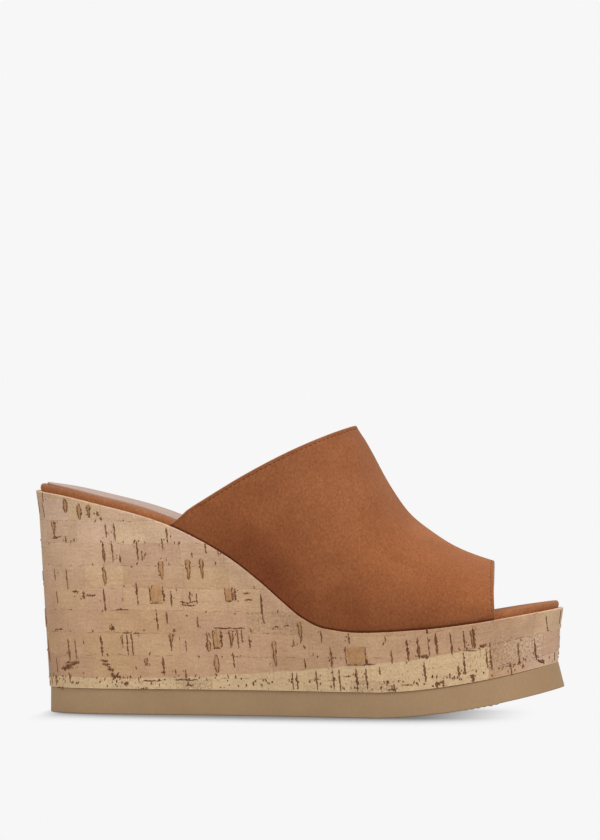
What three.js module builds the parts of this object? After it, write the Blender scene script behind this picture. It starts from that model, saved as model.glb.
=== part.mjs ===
import * as THREE from "three";
import { mergeVertices } from "three/addons/utils/BufferGeometryUtils.js";

// The right shoe of a pair of wedge mules, in millimetres.
// The toe points towards +X, the outer side of the foot is towards -Y, and the floor is Z = 0.

// Sizes of the wedge and its outline
const LENGTH = 234.1;          // from the cork's lip at the heel to its lip at the toe
const BALL_WIDTH = 85;         // what the outline's widths are shares of
const HEEL_EDGE = 98.2;        // from the floor to the cork's lip at the back of the heel
const BALL_EDGE = 37.2;        // from the floor to the cork's lip at the ball, its lowest place
const TOE_RISE = 10.7;         // from the lip at the ball up to the lip at the toe
const HEEL_ROUND = 31;         // length of the round end at the heel
const TOE_ROUND = 47;          // length of the round end at the toe
const HEEL_LEAN = 6.5;         // how far the wedge's back leans forward from the lip to the outsole
const SIDE_DRAFT = 0.04;       // how far the wedge's sides draw in for each millimetre down
const LIP_FLARE = 0.8;         // how far the lip stands out past the straight wall
const LIP_DEPTH = 11;          // how far down the wall that flare runs out

// Sizes of the outsole
const OUTSOLE_THICKNESS = 11.3;
const OUTSOLE_STEP = 0.6;      // how far the outsole's side stands in from the wedge's foot
const TOE_SPRING = 12.7;       // from the floor to the outsole's underside at the toe
const TOE_REACH = 0.7;         // how far the outsole's lower edge reaches past the lip at the toe

// Sizes of the footbed and its sock
const FOOTBED_THICKNESS = 3.1;
const RIM_INSET = 1.3;         // from the cork's lip to the footbed's wrapped rim, at the sides
const RIM_END_INSET = 2.0;     // the same at the heel and at the toe
const RIM_ROUND = 1.3;         // how far the rim rounds in at its top edge
const SOCK_THICKNESS = 0.6;
const SOCK_INSET = 5;          // from the cork's lip to the sock's edge
const DISH = 1.2;              // how deep the footbed is hollowed across the heel
const TUCK_GAP = 1;            // from the upper's end to where the rim starts to tuck in beside it
const TUCK_RUN = 4;            // length over which it tucks in

// Sizes of the upper
const WALL = 1.8;              // suede and lining together
const UPPER_INSET = 0.3;       // from the cork's lip to the upper's outer face
const INSTEP_HEIGHT = 90.4;    // from the lip at the ball up to the collar's peak
const OPENING_HEIGHT = 25.2;   // from the lip to the ridge at the toe opening
const OPENING_SWEEP = 2.6;     // how far the opening's edge runs forward outside and back inside
const SIDE_SWELL_WIDTH = 2.2;  // how far the sides swell past the outline
const RIDGE_SHIFT = 5;         // how far the ridge lies towards the inner side

// Gap between two pieces that touch
const CLEARANCE = 0.3;

// Places along the shoe, as shares of its length
const COLLAR_START = 0.2649;   // where the collar leaves the lip
const COLLAR_PEAK = 0.6062;
const OPENING_PLACE = 0.8693;  // where the ridge ends at the toe opening
const SPRING_START = 0.665;    // where the outsole leaves the floor
const SOCK_FRONT = 0.8;        // where the sock ends, under the upper

// How round or full each curve is
const SPRING_CURVE = 1.6;
const HEEL_CURVE = 2.15;
const TOE_CURVE = 2.3;
const ARCH_UP = 2.2;
const ARCH_ACROSS = 2.1;
const DISH_END = 0.62;         // share of the length where the footbed's hollow has run out

// How finely the solids are cut
const STATIONS = 30;           // between the two round ends
const END_STATIONS = 9;        // round each end
const UPPER_STEPS = 26;
const ARCH_STEPS = 34;
const HALVINGS = 40;           // of the search for the collar's edge
const LENGTH_NUDGE = 0.01;     // small steps for slopes, along the shoe and over the arch
const TURN_NUDGE = 1e-4;
const MERGE_DISTANCE = 1e-4;

// Half widths outside and inside the long axis, as shares of the ball width, along the length
const OUTLINE = [
  { at: 0.00, outer: 0.352, inner: 0.352 },
  { at: 0.10, outer: 0.360, inner: 0.360 },
  { at: 0.20, outer: 0.365, inner: 0.362 },
  { at: 0.30, outer: 0.367, inner: 0.340 },
  { at: 0.40, outer: 0.380, inner: 0.312 },
  { at: 0.50, outer: 0.425, inner: 0.322 },
  { at: 0.58, outer: 0.480, inner: 0.372 },
  { at: 0.65, outer: 0.512, inner: 0.432 },
  { at: 0.72, outer: 0.510, inner: 0.478 },
  { at: 0.80, outer: 0.478, inner: 0.490 },
  { at: 0.88, outer: 0.430, inner: 0.472 },
  { at: 0.95, outer: 0.385, inner: 0.440 },
  { at: 1.00, outer: 0.350, inner: 0.410 },
];

// Height of the cork's lip: shares of the drop from heel to ball, and of the rise from ball to toe
const LIP = [
  { at: 0.000, drop: 1.000, rise: 0.00 },
  { at: 0.065, drop: 0.962, rise: 0.00 },
  { at: 0.134, drop: 0.902, rise: 0.00 },
  { at: 0.203, drop: 0.836, rise: 0.00 },
  { at: 0.263, drop: 0.760, rise: 0.00 },
  { at: 0.322, drop: 0.655, rise: 0.00 },
  { at: 0.382, drop: 0.520, rise: 0.00 },
  { at: 0.441, drop: 0.348, rise: 0.00 },
  { at: 0.481, drop: 0.216, rise: 0.00 },
  { at: 0.520, drop: 0.098, rise: 0.00 },
  { at: 0.560, drop: 0.028, rise: 0.00 },
  { at: 0.629, drop: 0.000, rise: 0.00 },
  { at: 0.738, drop: 0.000, rise: 0.13 },
  { at: 0.837, drop: 0.000, rise: 0.39 },
  { at: 0.917, drop: 0.000, rise: 0.69 },
  { at: 1.000, drop: 0.000, rise: 1.00 },
];

// The upper's ridge from the collar's peak to the toe opening, as shares of its length and its drop
const RIDGE = [
  { at: 0.00, height: 1.000 },
  { at: 0.10, height: 0.822 },
  { at: 0.25, height: 0.550 },
  { at: 0.40, height: 0.336 },
  { at: 0.55, height: 0.212 },
  { at: 0.70, height: 0.118 },
  { at: 0.85, height: 0.052 },
  { at: 1.00, height: 0.000 },
];

// The collar's edge from the lip up to its peak, as shares of its length and its height
const COLLAR = [
  { at: 0.000, height: 0.000 },
  { at: 0.061, height: 0.070 },
  { at: 0.105, height: 0.145 },
  { at: 0.180, height: 0.234 },
  { at: 0.287, height: 0.356 },
  { at: 0.394, height: 0.474 },
  { at: 0.512, height: 0.595 },
  { at: 0.629, height: 0.706 },
  { at: 0.746, height: 0.808 },
  { at: 0.873, height: 0.908 },
  { at: 1.000, height: 1.000 },
];

const { lerp, clamp, smoothstep } = THREE.MathUtils;

// Slopes at the rows of a table, limited so that the curve through them never overshoots
function rowSlopes(rows, name) {
  const last = rows.length - 1;
  const spans = rows.slice(1).map((row, k) => row.at - rows[k].at);
  const rates = rows.slice(1).map((row, k) => (row[name] - rows[k][name]) / spans[k]);
  return rows.map((row, k) => {
    if (k === 0) return rates[0];
    if (k === last) return rates[last - 1];
    if (rates[k - 1] * rates[k] <= 0) return 0;
    const before = 2 * spans[k] + spans[k - 1];
    const after = spans[k] + 2 * spans[k - 1];
    return (before + after) / (before / rates[k - 1] + after / rates[k]);
  });
}

// A smooth function of the place along the table, through the named column of its rows
function columnCurve(rows, name) {
  const slopes = rowSlopes(rows, name);
  return (place) => {
    const at = clamp(place, rows[0].at, rows.at(-1).at);
    const next = Math.max(1, rows.findIndex((row) => row.at >= at));
    const [low, high] = [rows[next - 1], rows[next]];
    const span = high.at - low.at;
    const t = (at - low.at) / span;
    const bend = t * t * (3 - 2 * t);
    return lerp(low[name], high[name], bend)
      + span * t * (1 - t) * ((1 - t) * slopes[next - 1] - t * slopes[next]);
  };
}

const outerShare = columnCurve(OUTLINE, "outer");
const innerShare = columnCurve(OUTLINE, "inner");
const dropShare = columnCurve(LIP, "drop");
const riseShare = columnCurve(LIP, "rise");
const ridgeShare = columnCurve(RIDGE, "height");
const collarShare = columnCurve(COLLAR, "height");

// Width of a round end as a share of the full width, at a share of the end's length
function roundEnd(share, curve) {
  const left = 1 - clamp(share, 0, 1);
  return Math.pow(1 - Math.pow(left, curve), 1 / curve);
}

// The outline seen from above at a share of the length: its middle, its half width, its roundness
function plan(s) {
  const outer = outerShare(s) * BALL_WIDTH;
  const inner = innerShare(s) * BALL_WIDTH;
  const round = roundEnd(s * LENGTH / HEEL_ROUND, HEEL_CURVE)
    * roundEnd((1 - s) * LENGTH / TOE_ROUND, TOE_CURVE);
  return { middle: (inner - outer) / 2, half: (outer + inner) / 2 * round, round };
}

function lipHeight(s) {
  return BALL_EDGE + (HEEL_EDGE - BALL_EDGE) * dropShare(s) + TOE_RISE * riseShare(s);
}

// How far the footbed is hollowed below its edges, at a share of the length and of the half width
function dishDepth(s, across) {
  return DISH * (1 - smoothstep(s, 0, DISH_END)) * (1 - across * across);
}

// A point of the sheet that the outsole is cut from, a given way up from its underside
function sheetPoint(s, up) {
  const x = lerp(HEEL_LEAN, LENGTH + TOE_REACH, s);
  const start = SPRING_START * LENGTH;
  const run = LENGTH - start;
  const t = Math.max(0, (x - start) / run);
  const slope = TOE_SPRING * SPRING_CURVE * Math.pow(t, SPRING_CURVE - 1) / run;
  const tilt = Math.atan(slope);
  return { x: x - up * Math.sin(tilt), z: TOE_SPRING * Math.pow(t, SPRING_CURVE) + up * Math.cos(tilt) };
}

// How far the side stands in from the lip at a given way below it
function sideInset(below) {
  const flare = LIP_FLARE * smoothstep(below, 0, LIP_DEPTH);
  return flare + SIDE_DRAFT * below;
}

// A closed solid through rings of points. Each ring runs out along one path and back along another
// with as many points, and the two paths are joined at the first and the last ring.
function ringSolid(rings) {
  const count = rings[0].length;
  const corners = [];
  const quad = (a, b, c, d) => corners.push(a, b, c, a, c, d);
  for (let k = 0; k + 1 < rings.length; k += 1) {
    for (let i = 0; i < count; i += 1) {
      const j = (i + 1) % count;
      quad(rings[k][i], rings[k + 1][i], rings[k + 1][j], rings[k][j]);
    }
  }
  const [first, last] = [rings[0], rings.at(-1)];
  for (let i = 0; i + 1 < count / 2; i += 1) {
    const j = count - 1 - i;
    quad(first[i], first[i + 1], first[j - 1], first[j]);
    quad(last[j], last[j - 1], last[i + 1], last[i]);
  }
  const loose = new THREE.BufferGeometry().setFromPoints(corners);
  const merged = mergeVertices(loose, MERGE_DISTANCE);
  const index = [...merged.index.array];
  const kept = [];
  for (let i = 0; i < index.length; i += 3) {
    const [a, b, c] = index.slice(i, i + 3);
    if (a !== b && b !== c && c !== a) kept.push(a, b, c);
  }
  merged.setIndex(kept);
  return facingOut(merged);
}

// The same solid with its faces turned to point outwards
function facingOut(geometry) {
  const place = geometry.getAttribute("position");
  const corner = (i) => new THREE.Vector3().fromBufferAttribute(place, geometry.index.array[i]);
  let volume = 0;
  for (let i = 0; i < geometry.index.count; i += 3) {
    volume += corner(i).dot(corner(i + 1).cross(corner(i + 2)));
  }
  if (volume < 0) geometry.setIndex([...geometry.index.array].reverse());
  geometry.computeVertexNormals();
  return geometry;
}

// Shares of the length: close together round the two ends, and evenly spaced between them
function stationShares() {
  const heelEnd = HEEL_ROUND / LENGTH;
  const toeEnd = TOE_ROUND / LENGTH;
  const turn = (k) => 1 - Math.cos(Math.PI / 2 * k / END_STATIONS);
  const shares = [];
  for (let k = 0; k < END_STATIONS; k += 1) shares.push(heelEnd * turn(k));
  for (let k = 0; k <= STATIONS; k += 1) shares.push(lerp(heelEnd, 1 - toeEnd, k / STATIONS));
  for (let k = END_STATIONS - 1; k >= 0; k -= 1) shares.push(1 - toeEnd * turn(k));
  return shares;
}

// A solid from heel to toe. halfSection gives the points from the middle of its underside to the
// middle of its top, round the outer side (-1) or the inner side (+1).
function lengthwiseSolid(halfSection) {
  const rings = stationShares().map((s) => [...halfSection(s, -1), ...halfSection(s, 1).reverse()]);
  return ringSolid(rings);
}

// Places across the top of a piece from its edge to its middle, as shares of the half width
const ACROSS = [1, 0.75, 0.5, 0.25, 0];

// Places down the wedge's wall: a share of the straight wall, or a share of the flared lip
const WALL_SHARES = [1, 0.6];
const LIP_SHARES = [1, 0.5, 0];

// Heights up the rim where it stands out furthest, as shares of the footbed's thickness
const RIM_SHARES = [0.25, 0.65];

// A row of points over the footbed from an edge to the middle, a given way above the cork's top
function acrossRow(x, s, side, inset, up) {
  const { middle, half, round } = plan(s);
  const reach = half - inset * round;
  const place = clamp(x / LENGTH, 0, 1);
  return ACROSS.map((share) => {
    const across = half > 0 ? share * reach / half : 1;
    const z = lipHeight(place) - dishDepth(place, across) * round + up;
    return new THREE.Vector3(x, middle + side * share * reach, z);
  });
}

// Rubber outsole: a sheet of even thickness, flat from heel to ball and sprung at the toe
function outsoleSection(s, side) {
  const { middle, half, round } = plan(s);
  const foot = sheetPoint(s, OUTSOLE_THICKNESS + CLEARANCE);
  const point = (up, out) => {
    const { x, z } = sheetPoint(s, up);
    const heelStep = OUTSOLE_STEP * (1 - s);
    return new THREE.Vector3(x + heelStep, middle + side * out, z);
  };
  const lip = lipHeight(s);
  const reach = (up) => half - (sideInset(lip - foot.z) + OUTSOLE_STEP) * round
    - SIDE_DRAFT * (OUTSOLE_THICKNESS - up) * round;
  return [
    point(0, 0),
    point(0, reach(0)),
    point(OUTSOLE_THICKNESS / 2, reach(OUTSOLE_THICKNESS / 2)),
    point(OUTSOLE_THICKNESS, reach(OUTSOLE_THICKNESS)),
    point(OUTSOLE_THICKNESS, 0),
  ];
}

// Cork-covered wedge and platform: from the outsole's top up to the lip
function wedgeSection(s, side) {
  const { middle, half, round } = plan(s);
  const foot = sheetPoint(s, OUTSOLE_THICKNESS + CLEARANCE);
  const lip = { x: s * LENGTH, z: lipHeight(s) };
  const depth = lip.z - foot.z;
  const straight = WALL_SHARES.map((share) => share * depth);
  const flared = LIP_SHARES.map((share) => share * LIP_DEPTH);
  const wall = [...straight, ...flared].map((below) => {
    const share = below / depth;
    const flare = LIP_FLARE * (smoothstep(below, 0, LIP_DEPTH) - share);
    const lengthwise = lerp(1, -1, s);
    const x = lerp(lip.x, foot.x, share) + flare * lengthwise;
    const y = middle + side * (half - sideInset(below) * round);
    return new THREE.Vector3(x, y, lerp(lip.z, foot.z, share));
  });
  const top = acrossRow(lip.x, s, side, 0, 0).slice(1);
  return [new THREE.Vector3(foot.x, middle, foot.z), ...wall, ...top];
}

// The upper's outer face at a place along the shoe and a turn over the arch,
// from 0 at the outer foot over the ridge at a half to 1 at the inner foot
function upperPoint(x, turn) {
  const s = x / LENGTH;
  const { middle, half } = plan(s);
  const foot = lipHeight(s) + CLEARANCE;
  const [sine, cosine] = [Math.sin(Math.PI * turn), -Math.cos(Math.PI * turn)];
  const up = Math.pow(Math.max(0, sine), 2 / ARCH_UP);
  const out = Math.sign(cosine) * Math.pow(Math.abs(cosine), 2 / ARCH_ACROSS);
  const swell = SIDE_SWELL_WIDTH * 4 * up * (1 - up);
  const y = middle + out * (half - UPPER_INSET + swell) + RIDGE_SHIFT * up * up;
  return new THREE.Vector3(x, y, lerp(foot, ridgeHeight(x), up));
}

const PEAK_X = COLLAR_PEAK * LENGTH;
const COLLAR_X = COLLAR_START * LENGTH;
const OPENING_X = OPENING_PLACE * LENGTH;
const PEAK_Z = BALL_EDGE + INSTEP_HEIGHT;

// Height of the upper's ridge. Behind the collar's peak it is carried on straight.
function ridgeHeight(x) {
  const end = lipHeight(OPENING_PLACE) + OPENING_HEIGHT;
  const run = OPENING_X - PEAK_X;
  if (x < PEAK_X) {
    const slope = rowSlopes(RIDGE, "height")[0] * (PEAK_Z - end) / run;
    return PEAK_Z + slope * (x - PEAK_X);
  }
  return lerp(end, PEAK_Z, ridgeShare((x - PEAK_X) / run));
}

// Height of the collar's edge, seen from the side
function collarHeight(x) {
  const t = clamp((x - COLLAR_X) / (PEAK_X - COLLAR_X), 0, 1);
  return lerp(lipHeight(COLLAR_START) + CLEARANCE, PEAK_Z, collarShare(t));
}

// Where the collar's edge crosses the arch at a turn, found by halving
function collarPlace(turn) {
  let [low, high] = [COLLAR_X, PEAK_X];
  for (let k = 0; k < HALVINGS; k += 1) {
    const x = (low + high) / 2;
    if (upperPoint(x, turn).z > collarHeight(x)) low = x;
    else high = x;
  }
  return (low + high) / 2;
}

function openingPlace(turn) {
  return OPENING_X + OPENING_SWEEP * (1 - 2 * turn);
}

// A point of the upper's inner face, one wall's thickness in from the outer face
function innerPoint(x, turn) {
  const outer = upperPoint(x, turn);
  const [low, high] = [clamp(turn - TURN_NUDGE, 0, 1), clamp(turn + TURN_NUDGE, 0, 1)];
  const along = upperPoint(x + LENGTH_NUDGE, turn).sub(upperPoint(x - LENGTH_NUDGE, turn));
  const over = upperPoint(x, high).sub(upperPoint(x, low));
  const outward = along.cross(over).normalize();
  const inner = outer.clone().addScaledVector(outward, -WALL);
  if (turn === 0 || turn === 1) inner.z = lipHeight(inner.x / LENGTH) + CLEARANCE;
  return inner;
}

// Suede upper: one hollow wall, open at the collar, at the toe and underneath
function upperSolid() {
  const turns = [];
  for (let k = 0; k <= ARCH_STEPS; k += 1) turns.push(k / ARCH_STEPS);
  const starts = turns.map(collarPlace);
  const rings = [];
  for (let k = 0; k <= UPPER_STEPS; k += 1) {
    const places = turns.map((turn, i) => lerp(starts[i], openingPlace(turn), k / UPPER_STEPS));
    const outer = turns.map((turn, i) => upperPoint(places[i], turn));
    const inner = turns.map((turn, i) => innerPoint(places[i], turn));
    rings.push([...outer, ...inner.reverse()]);
  }
  return ringSolid(rings);
}

// How far the footbed's edge stands in from the lip: past the rim's inset, it is tucked in
// beside the upper's wall, up to the height of the sock
function footbedInset(x, side) {
  const s = clamp(x / LENGTH, 0, 1);
  const front = openingPlace(side < 0 ? 0 : 1);
  const covered = smoothstep(x, COLLAR_X - TUCK_GAP - TUCK_RUN, COLLAR_X - TUCK_GAP)
    * (1 - smoothstep(x, front + TUCK_GAP, front + TUCK_GAP + TUCK_RUN));
  const stack = FOOTBED_THICKNESS + CLEARANCE + SOCK_THICKNESS;
  const height = ridgeHeight(clamp(x, COLLAR_X, front)) - lipHeight(s);
  const up = clamp(stack / height, 0, 1);
  const narrowing = plan(s).half * (1 - Math.pow(1 - Math.pow(up, ARCH_UP), 1 / ARCH_ACROSS));
  const tucked = UPPER_INSET + WALL + CLEARANCE + narrowing;
  return lerp(RIM_INSET, Math.max(RIM_INSET, tucked), covered);
}

// Footbed with a suede-wrapped rim, on top of the wedge
function footbedSection(s, side) {
  const x = lerp(RIM_END_INSET, LENGTH - RIM_END_INSET, s);
  const inset = footbedInset(x, side);
  const low = CLEARANCE;
  const high = CLEARANCE + FOOTBED_THICKNESS;
  const underside = acrossRow(x, s, side, inset + RIM_ROUND / 2, low).reverse();
  const edge = RIM_SHARES.map((share) => acrossRow(x, s, side, inset, lerp(low, high, share))[0]);
  const top = acrossRow(x, s, side, inset + RIM_ROUND, high);
  return [...underside, ...edge, ...top];
}

// Leather sock, laid on the footbed inside the rim, from the heel to its end under the upper
function sockSection(share, side) {
  const s = share * SOCK_FRONT;
  const x = lerp(SOCK_INSET, LENGTH - SOCK_INSET, s);
  const low = CLEARANCE + FOOTBED_THICKNESS + CLEARANCE;
  const underside = acrossRow(x, s, side, SOCK_INSET, low).reverse();
  const top = acrossRow(x, s, side, SOCK_INSET, low + SOCK_THICKNESS);
  return [...underside, ...top];
}

function piece(name, geometry, color, roughness) {
  const material = new THREE.MeshStandardMaterial({ color, roughness, metalness: 0 });
  const mesh = new THREE.Mesh(geometry, material);
  mesh.name = name;
  return mesh;
}

const shoe = new THREE.Group();
shoe.add(
  piece("outsole", lengthwiseSolid(outsoleSection), 0x9d8063, 0.7),
  piece("wedge", lengthwiseSolid(wedgeSection), 0xb58f6f, 0.6),
  piece("footbed", lengthwiseSolid(footbedSection), 0xa06a48, 0.95),
  piece("sock", lengthwiseSolid(sockSection), 0xcbb8ab, 0.6),
  piece("upper", upperSolid(), 0x9d613e, 0.95),
);

// The origin is on the floor under the middle of the shoe's box
const box = new THREE.Box3().setFromObject(shoe);
const centre = box.getCenter(new THREE.Vector3());
shoe.position.set(-centre.x, -centre.y, -box.min.z);
shoe.updateMatrixWorld(true);

export default shoe;
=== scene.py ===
# %% [markdown]
# # Dressing a wedge mule
# The frame holds five plain solids of one right shoe: `outsole`, `wedge`, `footbed`, `sock` and `upper`.
# Each of them is made again here as a finer surface from the same sizes, and gets the finish of the real
# piece: cork veneer with its bark marks, moulded rubber, suede with stitched edges, and smooth leather.
# Shapes are worked out in millimetres, with the toe towards +X and the outer side towards -Y, and are
# turned into metres when they become a mesh.

import math

import bmesh
import bpy
import numpy as np
from mathutils import Matrix, Vector


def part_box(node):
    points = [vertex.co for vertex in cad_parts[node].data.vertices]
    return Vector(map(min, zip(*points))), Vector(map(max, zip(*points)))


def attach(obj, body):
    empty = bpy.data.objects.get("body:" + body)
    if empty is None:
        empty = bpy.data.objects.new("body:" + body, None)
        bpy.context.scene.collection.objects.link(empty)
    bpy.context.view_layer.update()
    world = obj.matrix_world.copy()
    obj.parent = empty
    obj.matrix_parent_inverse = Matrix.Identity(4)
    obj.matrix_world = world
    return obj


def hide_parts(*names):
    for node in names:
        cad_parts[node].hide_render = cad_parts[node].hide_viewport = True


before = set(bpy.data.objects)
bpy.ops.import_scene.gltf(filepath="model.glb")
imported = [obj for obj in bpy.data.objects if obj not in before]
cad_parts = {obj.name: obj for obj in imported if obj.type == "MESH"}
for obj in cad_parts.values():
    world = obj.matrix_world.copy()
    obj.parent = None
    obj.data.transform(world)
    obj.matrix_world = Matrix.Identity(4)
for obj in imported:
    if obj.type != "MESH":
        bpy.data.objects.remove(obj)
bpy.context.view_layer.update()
MM = 0.001
print("nodes:", sorted(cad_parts))

# %% [markdown]
# ## Sizes of the shoe
# A shoemaker works from a few sizes and from tables that say how each outline runs along the last. These
# are the ones that the solids were made from, so every new surface lies where its solid lies. After the
# lengths come places, as shares of the length, and the powers of the round curves. The tables hold shares
# too, and each column has a name.

# %% Sizes of the wedge, the outsole, the footbed and the upper
LENGTH = 234.1
BALL_WIDTH = 85
HEEL_EDGE = 98.2
BALL_EDGE = 37.2
TOE_RISE = 10.7
HEEL_ROUND = 31
TOE_ROUND = 47
HEEL_LEAN = 6.5
SIDE_DRAFT = 0.04
LIP_FLARE = 0.8
LIP_DEPTH = 11
OUTSOLE_THICKNESS = 11.3
OUTSOLE_STEP = 0.6
TOE_SPRING = 12.7
TOE_REACH = 0.7
FOOTBED_THICKNESS = 3.1
RIM_INSET = 1.3
RIM_END_INSET = 2.0
RIM_ROUND = 1.3
SOCK_THICKNESS = 0.6
SOCK_INSET = 5
DISH = 1.2
WALL = 1.8
UPPER_INSET = 0.3
INSTEP_HEIGHT = 90.4
OPENING_HEIGHT = 25.2
OPENING_SWEEP = 2.6
SIDE_SWELL_WIDTH = 2.2
RIDGE_SHIFT = 5
CLEARANCE = 0.3

COLLAR_START = 0.2649
COLLAR_PEAK = 0.6062
OPENING_PLACE = 0.8693
SPRING_START = 0.665
SOCK_FRONT = 0.8
DISH_END = 0.62

SPRING_CURVE = 1.6
HEEL_CURVE = 2.15
TOE_CURVE = 2.3
ARCH_UP = 2.2
ARCH_ACROSS = 2.1


# %% Tables of the outlines
def table(columns, rows):
    """A table as one array for each named column."""
    return {name: np.array(values, float) for name, values in zip(columns.split(), zip(*rows))}


OUTLINE = table("at outer inner", [
    (0.00, 0.352, 0.352), (0.10, 0.360, 0.360), (0.20, 0.365, 0.362), (0.30, 0.367, 0.340),
    (0.40, 0.380, 0.312), (0.50, 0.425, 0.322), (0.58, 0.480, 0.372), (0.65, 0.512, 0.432),
    (0.72, 0.510, 0.478), (0.80, 0.478, 0.490), (0.88, 0.430, 0.472), (0.95, 0.385, 0.440),
    (1.00, 0.350, 0.410),
])
LIP = table("at drop rise", [
    (0.000, 1.000, 0.00), (0.065, 0.962, 0.00), (0.134, 0.902, 0.00), (0.203, 0.836, 0.00),
    (0.263, 0.760, 0.00), (0.322, 0.655, 0.00), (0.382, 0.520, 0.00), (0.441, 0.348, 0.00),
    (0.481, 0.216, 0.00), (0.520, 0.098, 0.00), (0.560, 0.028, 0.00), (0.629, 0.000, 0.00),
    (0.738, 0.000, 0.13), (0.837, 0.000, 0.39), (0.917, 0.000, 0.69), (1.000, 0.000, 1.00),
])
RIDGE = table("at height", [
    (0.00, 1.000), (0.10, 0.822), (0.25, 0.550), (0.40, 0.336),
    (0.55, 0.212), (0.70, 0.118), (0.85, 0.052), (1.00, 0.000),
])
COLLAR = table("at height", [
    (0.000, 0.000), (0.061, 0.070), (0.105, 0.145), (0.180, 0.234), (0.287, 0.356),
    (0.394, 0.474), (0.512, 0.595), (0.629, 0.706), (0.746, 0.808), (0.873, 0.908),
    (1.000, 1.000),
])


# %% Smooth curves through a table's columns
def mix(low, high, share):
    """The value at a share of the way from low to high."""
    return low + (high - low) * share


def smoothstep(value, low, high):
    """0 below low, 1 above high, and an S curve between them."""
    t = np.clip((value - low) / (high - low), 0, 1)
    return t * t * (3 - 2 * t)


def column_curve(rows, column):
    """A smooth function through one column: cubic pieces whose slopes are held so that none overshoots."""
    at, value = rows["at"], rows[column]
    span = np.diff(at)
    rate = np.diff(value) / span
    before = 2 * span[1:] + span[:-1]
    after = span[1:] + 2 * span[:-1]
    turning = rate[:-1] * rate[1:] <= 0
    first, second = np.where(turning, 1, rate[:-1]), np.where(turning, 1, rate[1:])
    middle = np.where(turning, 0, (before + after) / (before / first + after / second))
    slope = np.concatenate([rate[:1], middle, rate[-1:]])

    def curve(place):
        place = np.clip(place, at[0], at[-1])
        low = np.clip(np.searchsorted(at, place) - 1, 0, len(span) - 1)
        t = (place - at[low]) / span[low]
        bend = t * t * (3 - 2 * t)
        lean = t * (1 - t) * ((1 - t) * slope[low] - t * slope[low + 1])
        return mix(value[low], value[low + 1], bend) + span[low] * lean

    return curve


outer_share = column_curve(OUTLINE, "outer")
inner_share = column_curve(OUTLINE, "inner")
drop_share = column_curve(LIP, "drop")
rise_share = column_curve(LIP, "rise")
ridge_share = column_curve(RIDGE, "height")
collar_share = column_curve(COLLAR, "height")


# %% The outline from above, the lip and the outsole's sheet
def round_end(share, curve):
    """Width of a round end: (1 - (1 - share)^curve)^(1 / curve), a superellipse."""
    left = 1 - np.clip(share, 0, 1)
    return (1 - left**curve) ** (1 / curve)


def plan(s):
    """The middle, the half width and the roundness of the outline at a share of the length."""
    outer = outer_share(s) * BALL_WIDTH
    inner = inner_share(s) * BALL_WIDTH
    roundness = (round_end(s * LENGTH / HEEL_ROUND, HEEL_CURVE)
                 * round_end((1 - s) * LENGTH / TOE_ROUND, TOE_CURVE))
    return (inner - outer) / 2, (inner + outer) / 2 * roundness, roundness


def lip_height(s):
    """Height of the cork's top edge above the floor."""
    return BALL_EDGE + (HEEL_EDGE - BALL_EDGE) * drop_share(s) + TOE_RISE * rise_share(s)


def sheet_point(s, up):
    """x and z in the outsole's sheet, a way up from its underside, square to its toe spring."""
    x = mix(HEEL_LEAN, LENGTH + TOE_REACH, s)
    start = SPRING_START * LENGTH
    run = LENGTH - start
    t = np.maximum(0, (x - start) / run)
    tilt = np.arctan(TOE_SPRING * SPRING_CURVE * t ** (SPRING_CURVE - 1) / run)
    return x - up * np.sin(tilt), TOE_SPRING * t**SPRING_CURVE + up * np.cos(tilt)


def side_inset(below):
    """How far the side stands in from the lip: a small flare that runs out, then a straight draft."""
    return LIP_FLARE * smoothstep(below, 0, LIP_DEPTH) + SIDE_DRAFT * below


print("lip at heel, ball and toe:", lip_height(0), lip_height(0.6), lip_height(1))

# %% [markdown]
# ## From arrays to a piece
# Every surface here is a grid: a function of two parameters gives an array of points, and neighbouring
# points make the faces. A closed piece is a few grids whose borders coincide, so its doubles are merged
# and its faces are then turned outwards. Each grid also carries a map in millimetres. The cork reads it, so
# that its pattern runs round the shoe without a jump, and so does the upper's suede.

# %% Grids of points, and the mesh that they make
BOX_SAMPLES = 2001
WELD = 1e-6
SHARP_EDGE = math.radians(38)

# from the sizes' own origin, at the heel, to the frame's
from_box, to_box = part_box("wedge")
plan_middle, plan_half, _ = plan(np.linspace(0, 1, BOX_SAMPLES))
plan_centre = ((plan_middle - plan_half).min() + (plan_middle + plan_half).max()) / 2
SHIFT = np.array([from_box.x / MM, (from_box.y + to_box.y) / 2 / MM - plan_centre, 0])


def point(x, y, z):
    """One array of points from three arrays that fit together."""
    return np.stack(np.broadcast_arrays(x, y, z), -1).astype(float)


def plain_map(points):
    """A map for pieces whose finish doesn't read one: length and width, seen from above."""
    return points[..., :2]


def quads_of(rows, columns):
    """The faces of a grid, as four corners each."""
    corner = np.arange(rows * columns).reshape(rows, columns)
    ring = [corner[:-1, :-1], corner[1:, :-1], corner[1:, 1:], corner[:-1, 1:]]
    return np.stack(ring, -1).reshape(-1, 4)


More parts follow.
